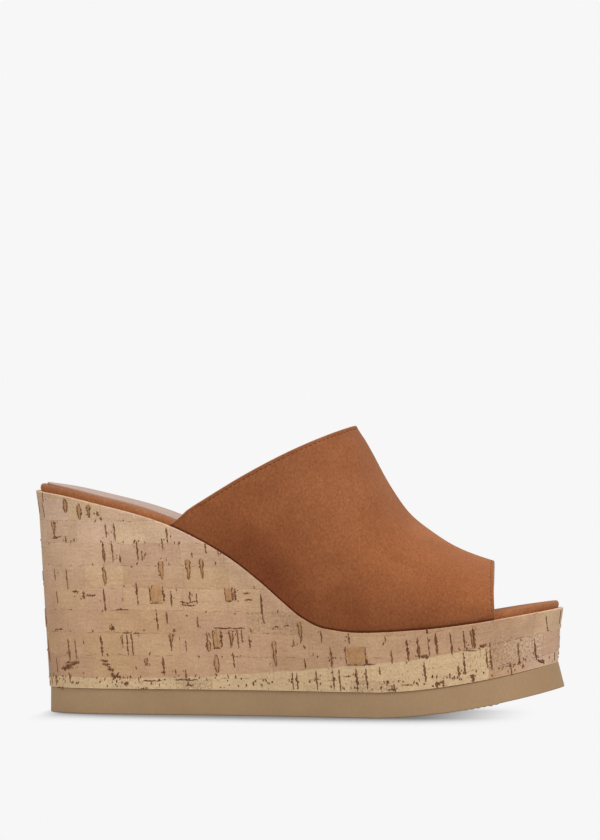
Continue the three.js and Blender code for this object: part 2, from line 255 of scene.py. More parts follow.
def make_piece(name, grids, materials, node=None):
    """One closed mesh from grids of (points, map, material number), placed on the frame."""
    points = np.concatenate([grid.reshape(-1, 3) for grid, _, _ in grids])
    maps = np.concatenate([flat.reshape(-1, 2) for _, flat, _ in grids])
    faces, kinds, start = [], [], 0
    for grid, _, kind in grids:
        rows, columns = grid.shape[:2]
        quads = quads_of(rows, columns) + start
        faces.append(quads)
        kinds.append(np.full(len(quads), kind))
        start += rows * columns
    mesh = bpy.data.meshes.new(name)
    mesh.from_pydata(((points + SHIFT) * MM).tolist(), [], np.concatenate(faces).tolist())
    corners = np.empty(len(mesh.loops), np.int32)
    mesh.loops.foreach_get("vertex_index", corners)
    mesh.uv_layers.new(name="Map").data.foreach_set("uv", maps[corners].astype(np.float32).ravel())
    mesh.polygons.foreach_set("material_index", np.concatenate(kinds).astype(np.int32))
    shell = bmesh.new()
    shell.from_mesh(mesh)
    bmesh.ops.remove_doubles(shell, verts=shell.verts, dist=WELD)
    bmesh.ops.recalc_face_normals(shell, faces=shell.faces)
    open_edges = sum(edge.is_boundary for edge in shell.edges)
    volume = shell.calc_volume(signed=True) / MM**3 / 1000
    shell.to_mesh(mesh)
    shell.free()
    mesh.polygons.foreach_set("use_smooth", np.ones(len(mesh.polygons), bool))
    mesh.set_sharp_from_angle(angle=SHARP_EDGE)
    for material in materials:
        mesh.materials.append(material)
    piece = bpy.data.objects.new(name, mesh)
    bpy.context.scene.collection.objects.link(piece)
    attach(piece, "root")
    if node:
        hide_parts(node)
    print(f"{name}: {len(mesh.polygons)} faces, {volume:.2f} cm3, {open_edges} open edges")


# %% [markdown]
# ## Finishes from nodes
# All colours are procedural. A few short helpers keep the node trees readable: each adds one node, feeds
# it numbers, colours or other nodes' outputs, and gives back the output. What more than one material uses
# is a node group with named inputs.

# %% Helpers for node trees
def srgb(red, green, blue):
    """A colour in 0 to 255 as Blender's linear colour."""
    shares = np.array([red, green, blue]) / 255
    low = shares / 12.92
    high = ((shares + 0.055) / 1.055) ** 2.4
    return (*np.where(shares <= 0.04045, low, high).tolist(), 1)


def feed(tree, socket, value):
    """Links an output to a socket, or sets the socket's own value."""
    if isinstance(value, bpy.types.NodeSocket):
        tree.links.new(value, socket)
    elif value is not None:
        socket.default_value = value


def maths(tree, operation, first, second=None, third=None):
    """One Math node."""
    node = tree.nodes.new("ShaderNodeMath")
    node.operation = operation
    for socket, value in zip(node.inputs, (first, second, third)):
        feed(tree, socket, value)
    return node.outputs[0]


def ranged(tree, value, low, high, to_low=0.0, to_high=1.0):
    """Maps a value from one range to another, and holds it there."""
    node = tree.nodes.new("ShaderNodeMapRange")
    node.interpolation_type = "SMOOTHSTEP"
    for socket, number in zip(node.inputs, (value, low, high, to_low, to_high)):
        feed(tree, socket, number)
    return node.outputs[0]


def blended(tree, share, first, second, kind="MIX"):
    """Mixes two colours."""
    node = tree.nodes.new("ShaderNodeMix")
    node.data_type = "RGBA"
    node.blend_type = kind
    for number, value in ((0, share), (6, first), (7, second)):
        feed(tree, node.inputs[number], value)
    return node.outputs[2]


def times(tree, first, *others):
    """The product of several values."""
    for value in others:
        first = maths(tree, "MULTIPLY", first, value)
    return first


def tinted(tree, colour, tint, share=1.0):
    """A colour multiplied by a tint, wholly or by a share."""
    return blended(tree, share, colour, tint, "MULTIPLY")


def stretched(tree, vector, scale):
    """A vector multiplied by a scale for each axis."""
    node = tree.nodes.new("ShaderNodeMapping")
    feed(tree, node.inputs["Vector"], vector)
    node.inputs["Scale"].default_value = scale
    return node.outputs[0]


def noise(tree, vector, scale, detail=2.0, roughness=0.5, distortion=0.0):
    """Noise from 0 to 1 at so many waves in a unit."""
    node = tree.nodes.new("ShaderNodeTexNoise")
    feed(tree, node.inputs["Vector"], vector)
    for name, value in (("Scale", scale), ("Detail", detail), ("Roughness", roughness),
                        ("Distortion", distortion)):
        node.inputs[name].default_value = value
    return node.outputs["Fac"]


def ramp(tree, value, stops):
    """Colours at places from 0 to 1."""
    node = tree.nodes.new("ShaderNodeValToRGB")
    feed(tree, node.inputs[0], value)
    elements = node.color_ramp.elements
    while len(elements) < len(stops):
        elements.new(0.5)
    for element, (place, colour) in zip(elements, stops):
        element.position = place
        element.color = colour
    return node.outputs[0]


def relief(tree, height, strength, depth):
    """A Bump node's normal, for a relief so many metres deep."""
    node = tree.nodes.new("ShaderNodeBump")
    node.inputs["Strength"].default_value = strength
    node.inputs["Distance"].default_value = depth
    feed(tree, node.inputs["Height"], height)
    return node.outputs[0]


def new_group(name, inputs, outputs):
    """A node group with inputs of (name, socket type, value) and outputs of (name, socket type)."""
    group = bpy.data.node_groups.new(name, "ShaderNodeTree")
    for label, kind, value in inputs:
        socket = group.interface.new_socket(label, in_out="INPUT", socket_type=kind)
        if value is not None:
            socket.default_value = value
    for label, kind in outputs:
        group.interface.new_socket(label, in_out="OUTPUT", socket_type=kind)
    return group, group.nodes.new("NodeGroupInput").outputs, group.nodes.new("NodeGroupOutput").inputs


def use_group(tree, group, **values):
    """Places a group in a tree and feeds its inputs. A name's spaces are written as underlines."""
    node = tree.nodes.new("ShaderNodeGroup")
    node.node_tree = group
    for name, value in values.items():
        feed(tree, node.inputs[name.replace("_", " ")], value)
    return node.outputs


def new_finish(name, roughness, **constants):
    """A material with its node tree and its Principled shader's inputs, with constants set on them."""
    material = bpy.data.materials.new(name)
    material.use_nodes = True
    tree = material.node_tree
    shader = tree.nodes["Principled BSDF"].inputs
    shader["Roughness"].default_value = roughness
    for label, value in constants.items():
        shader[label.replace("_", " ")].default_value = value
    return material, tree, shader


def object_place(tree):
    """The place on the object, in millimetres."""
    place = tree.nodes.new("ShaderNodeTexCoord").outputs["Object"]
    return stretched(tree, place, (1 / MM, 1 / MM, 1 / MM))


def map_place(tree):
    """The piece's own map, in millimetres."""
    node = tree.nodes.new("ShaderNodeUVMap")
    node.uv_map = "Map"
    return node.outputs[0]


def axes(tree, vector):
    """The parts of a vector, each an output."""
    node = tree.nodes.new("ShaderNodeSeparateXYZ")
    feed(tree, node.inputs[0], vector)
    return node.outputs


# %% [markdown]
# ## Suede
# Suede is leather with its fibres raised to a nap. Brushed one way it is lighter, the other way darker, so
# it is never one colour: wide soft patches, a fine mottle a few millimetres across, and single fibres. The
# shader's sheen gives the pale bloom at grazing angles. The upper and the footbed's rim share one group.

# %% Suede nap, for the upper and the rim
SUEDE_LIGHT = srgb(192, 124, 78)
SUEDE_MIDDLE = srgb(182, 114, 71)
SUEDE_DARK = srgb(168, 101, 62)
RIM_SHADES = (srgb(192, 128, 88), srgb(177, 115, 77), srgb(153, 95, 61))

# waves in a millimetre, detail, roughness and distortion of each pattern
NAP_PATCHES = (0.035, 3.0, 0.55, 0.6)
NAP_MOTTLE = (0.6, 5.0, 0.7)
NAP_FIBRES = (1.2, 4.0, 0.8)
NAP_WAVES = (0.05, 3.0, 0.6)
FIBRE_STRETCH = (1.0, 1.0, 0.7)
PATCH_EDGES = (0.32, 0.68)
MIDDLE_SHARE = 0.6
MOTTLE_RELIEF = 0.6

# where the upper's suede is darkened by dark nap and by painted shade: a range of heights over the lip or
# of places along the shoe, and the shares at its two ends. Nap and painted shade are darkest low at the
# waist. High up it is greyer, and a painted shadow lies along its foot
NAP_AND_SHADE_LOW = (46, 4, 0.0, 1.0)
NAP_AND_SHADE_VAMP = (200, 166, 0.3, 0.62)
NAP_AND_SHADE_WAIST = (138, 104, 0.0, 0.38)
NAP_AND_SHADE_REAR = (205, 105, 0.08, 0.4)
COLLAR_TIP = (70, 112, 0.55, 1.0)
HIGH_UP = (28, 72, 0.0, 1.0)
# heights over the lip where a painted shadow darkens the suede's foot, and the shares at its two ends
FOOT_SHADOW_BAND = (1.5, 0.5, 0.0, 0.75)
NAP_AND_SHADE_TINT = srgb(150, 105, 95)
HIGH_TINT = (1.0, 1.04, 1.12, 1)
# tint of the painted shadow along the suede's foot
FOOT_SHADOW_TINT = srgb(120, 80, 62)
WAVE_GAIN = (0.5, 0.75)
UPPER_NAP_AND_SHADE = 0.8

nap_tree, nap_in, nap_out = new_group(
    "Suede nap",
    [("Place", "NodeSocketVector", None), ("Light", "NodeSocketColor", SUEDE_LIGHT),
     ("Middle", "NodeSocketColor", SUEDE_MIDDLE), ("Dark", "NodeSocketColor", SUEDE_DARK)],
    [("Colour", "NodeSocketColor"), ("Height", "NodeSocketFloat")])
patches = noise(nap_tree, nap_in["Place"], *NAP_PATCHES)
mottle = noise(nap_tree, nap_in["Place"], *NAP_MOTTLE)
fibres = noise(nap_tree, stretched(nap_tree, nap_in["Place"], FIBRE_STRETCH), *NAP_FIBRES)
grey_mottle = ramp(nap_tree, mottle, [(0.3, (0.93, 0.92, 0.91, 1)), (0.7, (1.06, 1.06, 1.06, 1))])
grey_fibres = ramp(nap_tree, fibres, [(0.3, (0.70, 0.68, 0.66, 1)), (0.7, (1.26, 1.28, 1.30, 1))])
soft = blended(nap_tree, ranged(nap_tree, patches, *PATCH_EDGES), nap_in["Dark"], nap_in["Light"])
soft = blended(nap_tree, MIDDLE_SHARE, soft, nap_in["Middle"])
soft = tinted(nap_tree, tinted(nap_tree, soft, grey_mottle), grey_fibres)
feed(nap_tree, nap_out["Colour"], soft)
feed(nap_tree, nap_out["Height"], maths(nap_tree, "ADD", fibres, times(nap_tree, mottle, MOTTLE_RELIEF)))


def suede_finish(name, shades, nap_and_shade=0.0):
    """Suede in a light, a middle and a dark shade, and how strongly dark nap and painted shade darken its
    low back part.
    """
    material, tree, shader = new_finish(name, 0.95, Specular_IOR_Level=0.12, Sheen_Weight=0.16,
                                        Sheen_Roughness=0.4, Sheen_Tint=srgb(255, 214, 180))
    light, middle, dark = shades
    nap = use_group(tree, nap_tree, Place=object_place(tree), Light=light, Middle=middle, Dark=dark)
    colour = nap["Colour"]
    if nap_and_shade:
        # dark nap and painted shade darken the low back part, most of all low at the waist
        run, rise, _ = axes(tree, map_place(tree))
        back = maths(tree, "ADD", ranged(tree, run, *NAP_AND_SHADE_VAMP), ranged(tree, run, *NAP_AND_SHADE_WAIST))
        low = times(tree, ranged(tree, rise, *NAP_AND_SHADE_LOW), back, ranged(tree, run, *COLLAR_TIP))
        share = maths(tree, "MAXIMUM", low, ranged(tree, run, *NAP_AND_SHADE_REAR))
        wavy = maths(tree, "MULTIPLY_ADD", noise(tree, object_place(tree), *NAP_WAVES), *WAVE_GAIN)
        colour = tinted(tree, colour, NAP_AND_SHADE_TINT, times(tree, share, wavy, nap_and_shade))
        colour = tinted(tree, colour, HIGH_TINT, ranged(tree, rise, *HIGH_UP))
        # a painted shadow along the foot, where the suede meets the cork
        colour = tinted(tree, colour, FOOT_SHADOW_TINT, ranged(tree, rise, *FOOT_SHADOW_BAND))
    feed(tree, shader["Base Color"], colour)
    feed(tree, shader["Normal"], relief(tree, nap["Height"], 0.4, 0.0003))
    return material


# the upper gets dark nap and painted shade, the rim gets none
upper_suede = suede_finish("Suede upper", (SUEDE_LIGHT, SUEDE_MIDDLE, SUEDE_DARK), UPPER_NAP_AND_SHADE)
rim_suede = suede_finish("Suede rim", RIM_SHADES)
print("suede:", upper_suede.name, rim_suede.name)

# %% [markdown]
# ## Smooth leather
# The lining and the sock are thin smooth leather. Close up it has fine pebbles with creases between them,
# and its colour drifts a little. One group makes both, and each has its own tint.

# %% Leather grain, for the sock and the lining
PEBBLES = 1.5
CREASE_WIDTH = 0.16
DRIFT = (0.05, 3.0)

grain_tree, grain_in, grain_out = new_group(
    "Leather grain",
    [("Place", "NodeSocketVector", None), ("Tint", "NodeSocketColor", srgb(205, 186, 172))],
    [("Colour", "NodeSocketColor"), ("Height", "NodeSocketFloat")])
pebbles = grain_tree.nodes.new("ShaderNodeTexVoronoi")
pebbles.feature = "DISTANCE_TO_EDGE"
pebbles.inputs["Scale"].default_value = PEBBLES
feed(grain_tree, pebbles.inputs["Vector"], grain_in["Place"])
creases = ranged(grain_tree, pebbles.outputs["Distance"], 0.0, CREASE_WIDTH)
drift = noise(grain_tree, grain_in["Place"], *DRIFT)
grey_drift = ramp(grain_tree, drift, [(0.3, (0.93, 0.92, 0.91, 1)), (0.7, (1.05, 1.05, 1.06, 1))])
grey_crease = ramp(grain_tree, creases, [(0.0, (0.90, 0.88, 0.86, 1)), (1.0, (1, 1, 1, 1))])
drifted = tinted(grain_tree, grain_in["Tint"], grey_drift)
feed(grain_tree, grain_out["Colour"], tinted(grain_tree, drifted, grey_crease))
feed(grain_tree, grain_out["Height"], creases)


def leather_finish(name, tint):
    """Smooth leather in one tint."""
    material, tree, shader = new_finish(name, 0.5, Specular_IOR_Level=0.35)
    grain = use_group(tree, grain_tree, Place=object_place(tree), Tint=tint)
    feed(tree, shader["Base Color"], grain["Colour"])
    feed(tree, shader["Normal"], relief(tree, grain["Height"], 0.3, 0.0001))
    return material


sock_leather = leather_finish("Sock leather", srgb(192, 160, 142))
lining_leather = leather_finish("Lining leather", srgb(202, 170, 148))
print("leather:", sock_leather.name, lining_leather.name)

# %% [markdown]
# ## Cork veneer
# The wedge is covered with thin cork. It is glued up from strips about 10 mm high, each of blocks with
# their own tint and grain, and the lowest strip is yellower and more broken. The pattern is worked out
# from the map: rounding a length down gives the number of the strip and the block, and white noise turns
# that number into a tint. The long brown bark marks are inlays of their own, made further down.

# %% Sizes, tints and patterns of the cork
STRIP_HEIGHT = 9.85
FIRST_STRIP = 4.8
BLOCK_LENGTH = 21
STRIP_SEED = 3.5
STRIP_SHIFT = 60.0
SWELL_SHIFT = 34.0
WOBBLE = 2.4

# places round the shoe and heights above the outsole
YELLOW_ALONG = (62, 219)
YELLOW_RISE = 9.2
YELLOW_EDGE = (0.5, -0.3)
PATCH_ALONG = (224, 254)
PATCH_ABOVE = (3.2, 18.4)
PATCH_SLOPE = 0.17
PATCH_STEP = 0.5
# heights above the outsole over which a painted highlight makes the cork paler
HIGHLIGHT_ABOVE = (32, 74)
TOE_PALE = (226, 262)

BLOCK_TINTS = [
    (0.00, srgb(211, 170, 133)), (0.25, srgb(216, 175, 139)), (0.45, srgb(219, 178, 145)),
    (0.65, srgb(214, 175, 133)), (0.85, srgb(223, 185, 146)), (1.00, srgb(206, 164, 131))]
YELLOW_TINT = srgb(240, 211, 166)
# tint of the painted highlight high up on the cork
HIGHLIGHT_TINT = (1.15, 1.26, 1.40, 1)
TOE_TINT = (1.30, 1.42, 1.58, 1)
PATCH_TINT = (1.05, 1.08, 1.16, 1)
MOTTLE_BROWN = srgb(148, 104, 84)
PORE_BROWN = srgb(122, 82, 52)
JOINT_BROWN = srgb(142, 101, 68)
YELLOW_SHARE = 0.8
PORE_SHARE = 0.75
JOINT_SHARE = 0.55
END_SHARE = 0.3
WHOLE_JOINT = 0.08

# a range of a random share or of a pattern, and the shares at its two ends
MOTTLED_LUCK = (0.972, 0.980)
BLOCK_MOTTLE = (0.42, 0.70, 0.0, 0.75)
PATCH_MOTTLE = (0.42, 0.66, 0.0, 0.72)
PORE_EDGE = (0.0, 0.035)
PORE_START = 0.715
SPOTTY_POWER = 5.0
SPOTTY_BLOCKS = 0.055
SPOTTY_YELLOW = 0.085
JOINT_WIDTH = (0.030, 0.008)
END_WIDTH = (0.016, 0.004)
UNBROKEN = (0.48, 0.64)

# how each pattern is stretched, its waves in a millimetre, detail, roughness and distortion
SWELL = ((1, 0.02, 1), 0.03)
GRAIN = ((0.13, 1.0, 1), 1.0, 5.0, 0.62, 0.8)
FLECKS = ((0.9, 1.0, 1), 1.0, 5.0, 0.72)
CLOUDS = ((0.12, 0.10, 1), 1.0, 3.0, 0.6)
BUSY = ((1.1, 0.9, 1), 1.0, 4.0, 0.75)
PORES = ((1.5, 0.62, 1), 1.0, 3.0, 0.62)
BREAKS = ((0.35, 0.5, 1), 1.0, 3.0)
WOBBLE_WAVES = 0.09

# %% Cork: strips of blocks with grain, pores and joints
cork, cork_tree, cork_shader = new_finish("Cork veneer", 0.62, Specular_IOR_Level=0.25)
cork_map = map_place(cork_tree)
along, above, _ = axes(cork_tree, cork_map)
round_shoe = maths(cork_tree, "ABSOLUTE", along)

wobble = maths(cork_tree, "MULTIPLY_ADD", noise(cork_tree, cork_map, WOBBLE_WAVES), WOBBLE, -WOBBLE / 2)
level = maths(cork_tree, "ADD", maths(cork_tree, "SUBTRACT", above, FIRST_STRIP), wobble)
strips = maths(cork_tree, "DIVIDE", level, STRIP_HEIGHT)
strip = maths(cork_tree, "FLOOR", strips)


def cork_pattern(stretch, *look):
    """Noise on the cork's map, stretched along and up."""
    return noise(cork_tree, stretched(cork_tree, cork_map, stretch), *look)


def to_border(numbers):
    """How far the nearest whole number is, as a share: 0 at a joint."""
    share = maths(cork_tree, "FRACT", numbers)
    return maths(cork_tree, "MINIMUM", share, maths(cork_tree, "SUBTRACT", 1.0, share))


def white_noise(tree, first, second):
    """Three random shares for a pair of numbers."""
    pair = tree.nodes.new("ShaderNodeCombineXYZ")
    feed(tree, pair.inputs[0], first)
    feed(tree, pair.inputs[1], second)
    node = tree.nodes.new("ShaderNodeTexWhiteNoise")
    node.noise_dimensions = "2D"
    feed(tree, node.inputs["Vector"], pair.outputs[0])
    split = tree.nodes.new("ShaderNodeSeparateColor")
    feed(tree, split.inputs[0], node.outputs["Color"])
    return split.outputs


strip_luck = white_noise(cork_tree, strip, STRIP_SEED)
shifted = maths(cork_tree, "ADD", times(cork_tree, strip_luck[0], STRIP_SHIFT),
                times(cork_tree, cork_pattern(*SWELL), SWELL_SHIFT))
blocks = maths(cork_tree, "DIVIDE", maths(cork_tree, "ADD", along, shifted), BLOCK_LENGTH)
luck = white_noise(cork_tree, maths(cork_tree, "FLOOR", blocks), strip)

# the yellow lower strip rises towards the toe and ends at the patch there. High up the cork is paler, a
# painted highlight
cork_tint = ramp(cork_tree, luck[0], BLOCK_TINTS)
yellow_top = ranged(cork_tree, round_shoe, *YELLOW_ALONG, FIRST_STRIP, FIRST_STRIP + YELLOW_RISE)
over_yellow = maths(cork_tree, "SUBTRACT", maths(cork_tree, "ADD", above, wobble), yellow_top)
before_patch = ranged(cork_tree, round_shoe, PATCH_ALONG[0] + PATCH_STEP, PATCH_ALONG[0])
yellow = times(cork_tree, ranged(cork_tree, over_yellow, *YELLOW_EDGE), before_patch)
cork_tint = blended(cork_tree, times(cork_tree, yellow, YELLOW_SHARE), cork_tint, YELLOW_TINT)
cork_tint = tinted(cork_tree, cork_tint, HIGHLIGHT_TINT, ranged(cork_tree, above, *HIGHLIGHT_ABOVE))
veneer = tinted(cork_tree, cork_tint, TOE_TINT, ranged(cork_tree, round_shoe, *TOE_PALE))

grain, flecks, clouds = cork_pattern(*GRAIN), cork_pattern(*FLECKS), cork_pattern(*CLOUDS)
for pattern, shades in (
        (grain, [(0.30, (0.91, 0.88, 0.85, 1)), (0.52, (1, 1, 1, 1)), (0.72, (1.05, 1.05, 1.04, 1))]),
        (flecks, [(0.30, (0.83, 0.78, 0.74, 1)), (0.70, (1.13, 1.14, 1.15, 1))]),
        (clouds, [(0.32, (0.93, 0.90, 0.89, 1)), (0.68, (1.05, 1.05, 1.04, 1))])):
    veneer = tinted(cork_tree, veneer, ramp(cork_tree, pattern, shades))

# a few blocks are mottled all over, darker and a little redder, and so is a patch low at the toe
patch_run = maths(cork_tree, "SUBTRACT", round_shoe, PATCH_ALONG[0])
patch_rise = maths(cork_tree, "MULTIPLY_ADD", patch_run, PATCH_SLOPE, above)
patch = ranged(cork_tree, patch_run, 0, PATCH_STEP)
for place, low, high in ((round_shoe, PATCH_ALONG[1] + PATCH_STEP, PATCH_ALONG[1]),
                         (above, PATCH_ABOVE[0], PATCH_ABOVE[0] + PATCH_STEP),
                         (patch_rise, PATCH_ABOVE[1] + PATCH_STEP, PATCH_ABOVE[1])):
    patch = times(cork_tree, ranged(cork_tree, place, low, high), patch)
busy = cork_pattern(*BUSY)
mottled_block = ranged(cork_tree, luck[2], *MOTTLED_LUCK)
block_mottle = times(cork_tree, mottled_block, ranged(cork_tree, busy, *BLOCK_MOTTLE))
patch_mottle = times(cork_tree, patch, ranged(cork_tree, busy, *PATCH_MOTTLE))
mottled = maths(cork_tree, "MAXIMUM", block_mottle, patch_mottle)
veneer = blended(cork_tree, mottled, tinted(cork_tree, veneer, PATCH_TINT, patch), MOTTLE_BROWN)

# pores: short upright specks, more of them in some blocks and in the lowest strip
spotty_block = maths(cork_tree, "POWER", luck[1], SPOTTY_POWER)
spotty = maths(cork_tree, "ADD", times(cork_tree, spotty_block, SPOTTY_BLOCKS),
               times(cork_tree, yellow, SPOTTY_YELLOW))
pore_edge = maths(cork_tree, "SUBTRACT", PORE_START, spotty)
pores = ranged(cork_tree, maths(cork_tree, "SUBTRACT", cork_pattern(*PORES), pore_edge), *PORE_EDGE)
veneer = blended(cork_tree, times(cork_tree, pores, PORE_SHARE), veneer, PORE_BROWN)

# joints: broken brown lines where two strips meet, and fainter ones between two blocks
joint = ranged(cork_tree, to_border(strips), *JOINT_WIDTH)
broken = maths(cork_tree, "ADD", ranged(cork_tree, cork_pattern(*BREAKS), *UNBROKEN), WHOLE_JOINT)
block_end = times(cork_tree, ranged(cork_tree, to_border(blocks), *END_WIDTH), END_SHARE)
joints = maths(cork_tree, "ADD", times(cork_tree, joint, broken), block_end)
veneer = blended(cork_tree, times(cork_tree, joints, JOINT_SHARE), veneer, JOINT_BROWN)
feed(cork_tree, cork_shader["Base Color"], veneer)
cork_height = maths(cork_tree, "SUBTRACT", maths(cork_tree, "ADD", grain, flecks),
                    maths(cork_tree, "ADD", pores, joints))
feed(cork_tree, cork_shader["Normal"], relief(cork_tree, cork_height, 0.3, 0.0002))
print("cork strips in the heel:", round((HEEL_EDGE - OUTSOLE_THICKNESS) / STRIP_HEIGHT, 1))

# %% Bark: the brown of the marks, and the tan that fills the wider ones
BARK_STRETCH = (0.9, 0.9, 0.45)
BARK_STREAKS = (1.0, 4.0, 0.7)


def bark_finish(name, dark, light):
    """Bark between a dark and a light shade, in streaks along the mark."""
    material, tree, shader = new_finish(name, 0.8, Specular_IOR_Level=0.15)
    streaks = noise(tree, stretched(tree, object_place(tree), BARK_STRETCH), *BARK_STREAKS)
    feed(tree, shader["Base Color"], ramp(tree, streaks, [(0.34, dark), (0.66, light)]))
    feed(tree, shader["Normal"], relief(tree, streaks, 0.3, 0.0001))
    return material


dark_bark = bark_finish("Dark bark", srgb(96, 62, 42), srgb(164, 112, 80))
tan_bark = bark_finish("Tan bark", srgb(184, 136, 92), srgb(212, 166, 120))
print("bark:", dark_bark.name, tan_bark.name)

# %% [markdown]
# ## Rubber and thread
# The outsole's rubber is dull and even, with a faint moulded texture. The thread that holds the folded
# edges of the upper is darker than the suede and lies sunk in it. Its dark colour is partly its own and
# partly painted shade of the stitch holes.

# %% Rubber and thread
DUST = (0.05, 4.0, 0.6)
MOULDING = (1.3, 3.0, 0.6)
MOULDING_STRETCH = (1, 1, 0.5)
THREAD_BANDS = (3.5, 2.0)

rubber, rubber_tree, rubber_shader = new_finish("Sole rubber", 0.6, Specular_IOR_Level=0.3)
rubber_place = object_place(rubber_tree)
dust = noise(rubber_tree, rubber_place, *DUST)
moulding = noise(rubber_tree, stretched(rubber_tree, rubber_place, MOULDING_STRETCH), *MOULDING)
rubber_tint = ramp(rubber_tree, dust, [(0.3, srgb(184, 149, 111)), (0.7, srgb(191, 156, 118))])
grey_moulding = ramp(rubber_tree, moulding, [(0.3, (0.95, 0.95, 0.94, 1)), (0.7, (1.04, 1.04, 1.05, 1))])
feed(rubber_tree, rubber_shader["Base Color"], tinted(rubber_tree, rubber_tint, grey_moulding))
feed(rubber_tree, rubber_shader["Normal"], relief(rubber_tree, moulding, 0.25, 0.0001))


def thread_finish(name, dark, light):
    """Twisted thread: its colour runs between two shades in fine slanting bands."""
    material, tree, shader = new_finish(name, 0.7, Specular_IOR_Level=0.2)
    bands = noise(tree, object_place(tree), *THREAD_BANDS)
    feed(tree, shader["Base Color"], ramp(tree, bands, [(0.35, dark), (0.65, light)]))
    feed(tree, shader["Normal"], relief(tree, bands, 0.4, 0.0001))
    return material


# the threads' dark colour is partly painted shade of the stitch holes
collar_thread = thread_finish("Collar thread", srgb(92, 52, 34), srgb(124, 76, 52))
opening_thread = thread_finish("Opening thread", srgb(112, 66, 42), srgb(150, 94, 62))
print("thread:", collar_thread.name, opening_thread.name)

# %% [markdown]
# ## The shoe's stations
# A piece that runs from heel to toe is a row of cross sections. They stand close together at the round
# ends and evenly along the outline between them, because they are spaced by the length of the outline and
# not by the length of the shoe.

# %% Stations by the outline's own length
OUTLINE_STEPS = 150
FINE_STEPS = 6000


def crowded_shares(count):
    """Shares from 0 to 1 that crowd together towards both ends."""
    return (1 - np.cos(np.linspace(0, np.pi, count + 1))) / 2


def outline_length(s, side):
    """How far along one side's outline each share of the length lies."""
    middle, half, _ = plan(s)
    return np.concatenate([[0], np.cumsum(np.hypot(np.diff(s * LENGTH), np.diff(middle + side * half)))])


fine_shares = crowded_shares(FINE_STEPS)
walked_sides = {side: outline_length(fine_shares, side) for side in (-1, 1)}


def even_stations(count):
    """Shares of the length, spaced evenly along the mean of the two sides."""
    walked = (walked_sides[-1] + walked_sides[1]) / 2
    return np.interp(np.linspace(0, walked[-1], count + 1), walked, fine_shares)


stations = even_stations(OUTLINE_STEPS)


def walked_to(s, side):
    """Length round the shoe from the heel, negative along the inner side."""
    return -side * np.interp(s, fine_shares, walked_sides[side])


print("outline:", round(walked_sides[-1][-1]), "mm outside,", round(walked_sides[1][-1]), "mm inside")

# %% [markdown]
# ## The cork wedge
# The wall runs from the lip down to the outsole and leans in a little on its way. Its upper edge is eased
# by a small radius, which catches the light as a pale line under the rim. Where the upper's foot lies on it
# the edge is sharper.

# %% The wedge's wall, lip and top
LIP_RADIUS = 0.7
COVERED_RADIUS = 0.25
COVERED_START = (0.30, 0.36)
COVERED_STOP = (0.80, 0.87)
WALL_ROWS = 26
LIP_ROWS = 6
ACROSS_ROWS = 10


def wall_point(s, side, share):
    """A place on the cork's wall: share 0 is the lip and share 1 its foot, straight lines with a flare."""
    middle, half, roundness = plan(s)
    foot_x, foot_z = sheet_point(s, OUTSOLE_THICKNESS + CLEARANCE)
    depth = lip_height(s) - foot_z
    below = share * depth
    flare = LIP_FLARE * (smoothstep(below, 0, LIP_DEPTH) - share)
    x = mix(s * LENGTH, foot_x, share) + flare * (1 - 2 * s)
    y = middle + side * (half - side_inset(below) * roundness)
    return point(x, y, lip_height(s) - below)


def eased(x, y, side, inset, round_toe=True):
    """An outline seen from above, moved in along its own normals by each of a row of insets."""
    dx, dy = np.gradient(x[:, 0]), np.gradient(y[:, 0])
    normal = side * np.stack([-dy, dx]) / np.hypot(dx, dy)
    normal[:, 0] = (-1, 0)
    if round_toe:
        normal[:, -1] = (1, 0)
    return x - inset * normal[0][:, None], y - inset * normal[1][:, None]


def wall_map(s, side, points):
    """The cork's map: length round the shoe, and height above the outsole's sheet."""
    _, sheet_z = sheet_point(s, OUTSOLE_THICKNESS)
    return np.stack(np.broadcast_arrays(walked_to(s, side), points[..., 2] - sheet_z), -1)


def dish_depth(s, across):
    """How far the footbed is hollowed: deepest in the middle of the heel, and gone at the waist."""
    return DISH * (1 - smoothstep(s, 0, DISH_END)) * (1 - across**2)


def lip_radius(s):
    """The lip's small radius, and a smaller one where the upper's foot lies on it."""
    covered = smoothstep(s, *COVERED_START) * (1 - smoothstep(s, *COVERED_STOP))
    return mix(LIP_RADIUS, COVERED_RADIUS, covered)


def wedge_grids():
    """Both walls, each with its eased lip, the top between them and the underside."""
    s = stations[:, None]
    _, foot_z = sheet_point(s, OUTSOLE_THICKNESS + CLEARANCE)
    depth = lip_height(s) - foot_z
    radius = lip_radius(s)
    shares = mix(radius / depth, 1, np.linspace(1, 0, WALL_ROWS + 1)[None, :])
    shares[:, 0] = ((depth + CLEARANCE) / depth)[:, 0]
    turn = np.linspace(0, np.pi / 2, LIP_ROWS + 1)[None, 1:]
    middle, half, roundness = plan(s)
    grids = []
    for side in (-1, 1):
        wall = wall_point(s, side, shares)
        inset = radius * (1 - np.cos(turn))
        x, y = eased(s * LENGTH, middle + side * half, side, inset)
        lip = point(x, y, lip_height(s) - radius * (1 - np.sin(turn)))
        rows = np.concatenate([wall, lip], 1)
        grids.append((rows, wall_map(s, side, rows), 0))
    outer, inner = grids[0][0], grids[1][0]
    for column, level in ((-1, 1), (0, 0)):
        start, stop = outer[:, column, None], inner[:, column, None]
        across = np.linspace(0, 1, ACROSS_ROWS + 1)[None, :, None]
        cap = mix(start, stop, across)
        cap[..., 2] -= level * dish_depth(s, across[..., 0] * 2 - 1) * roundness
        grids.append((cap, plain_map(cap), 0))
    return grids


make_piece("cork_wedge", wedge_grids(), [cork], "wedge")

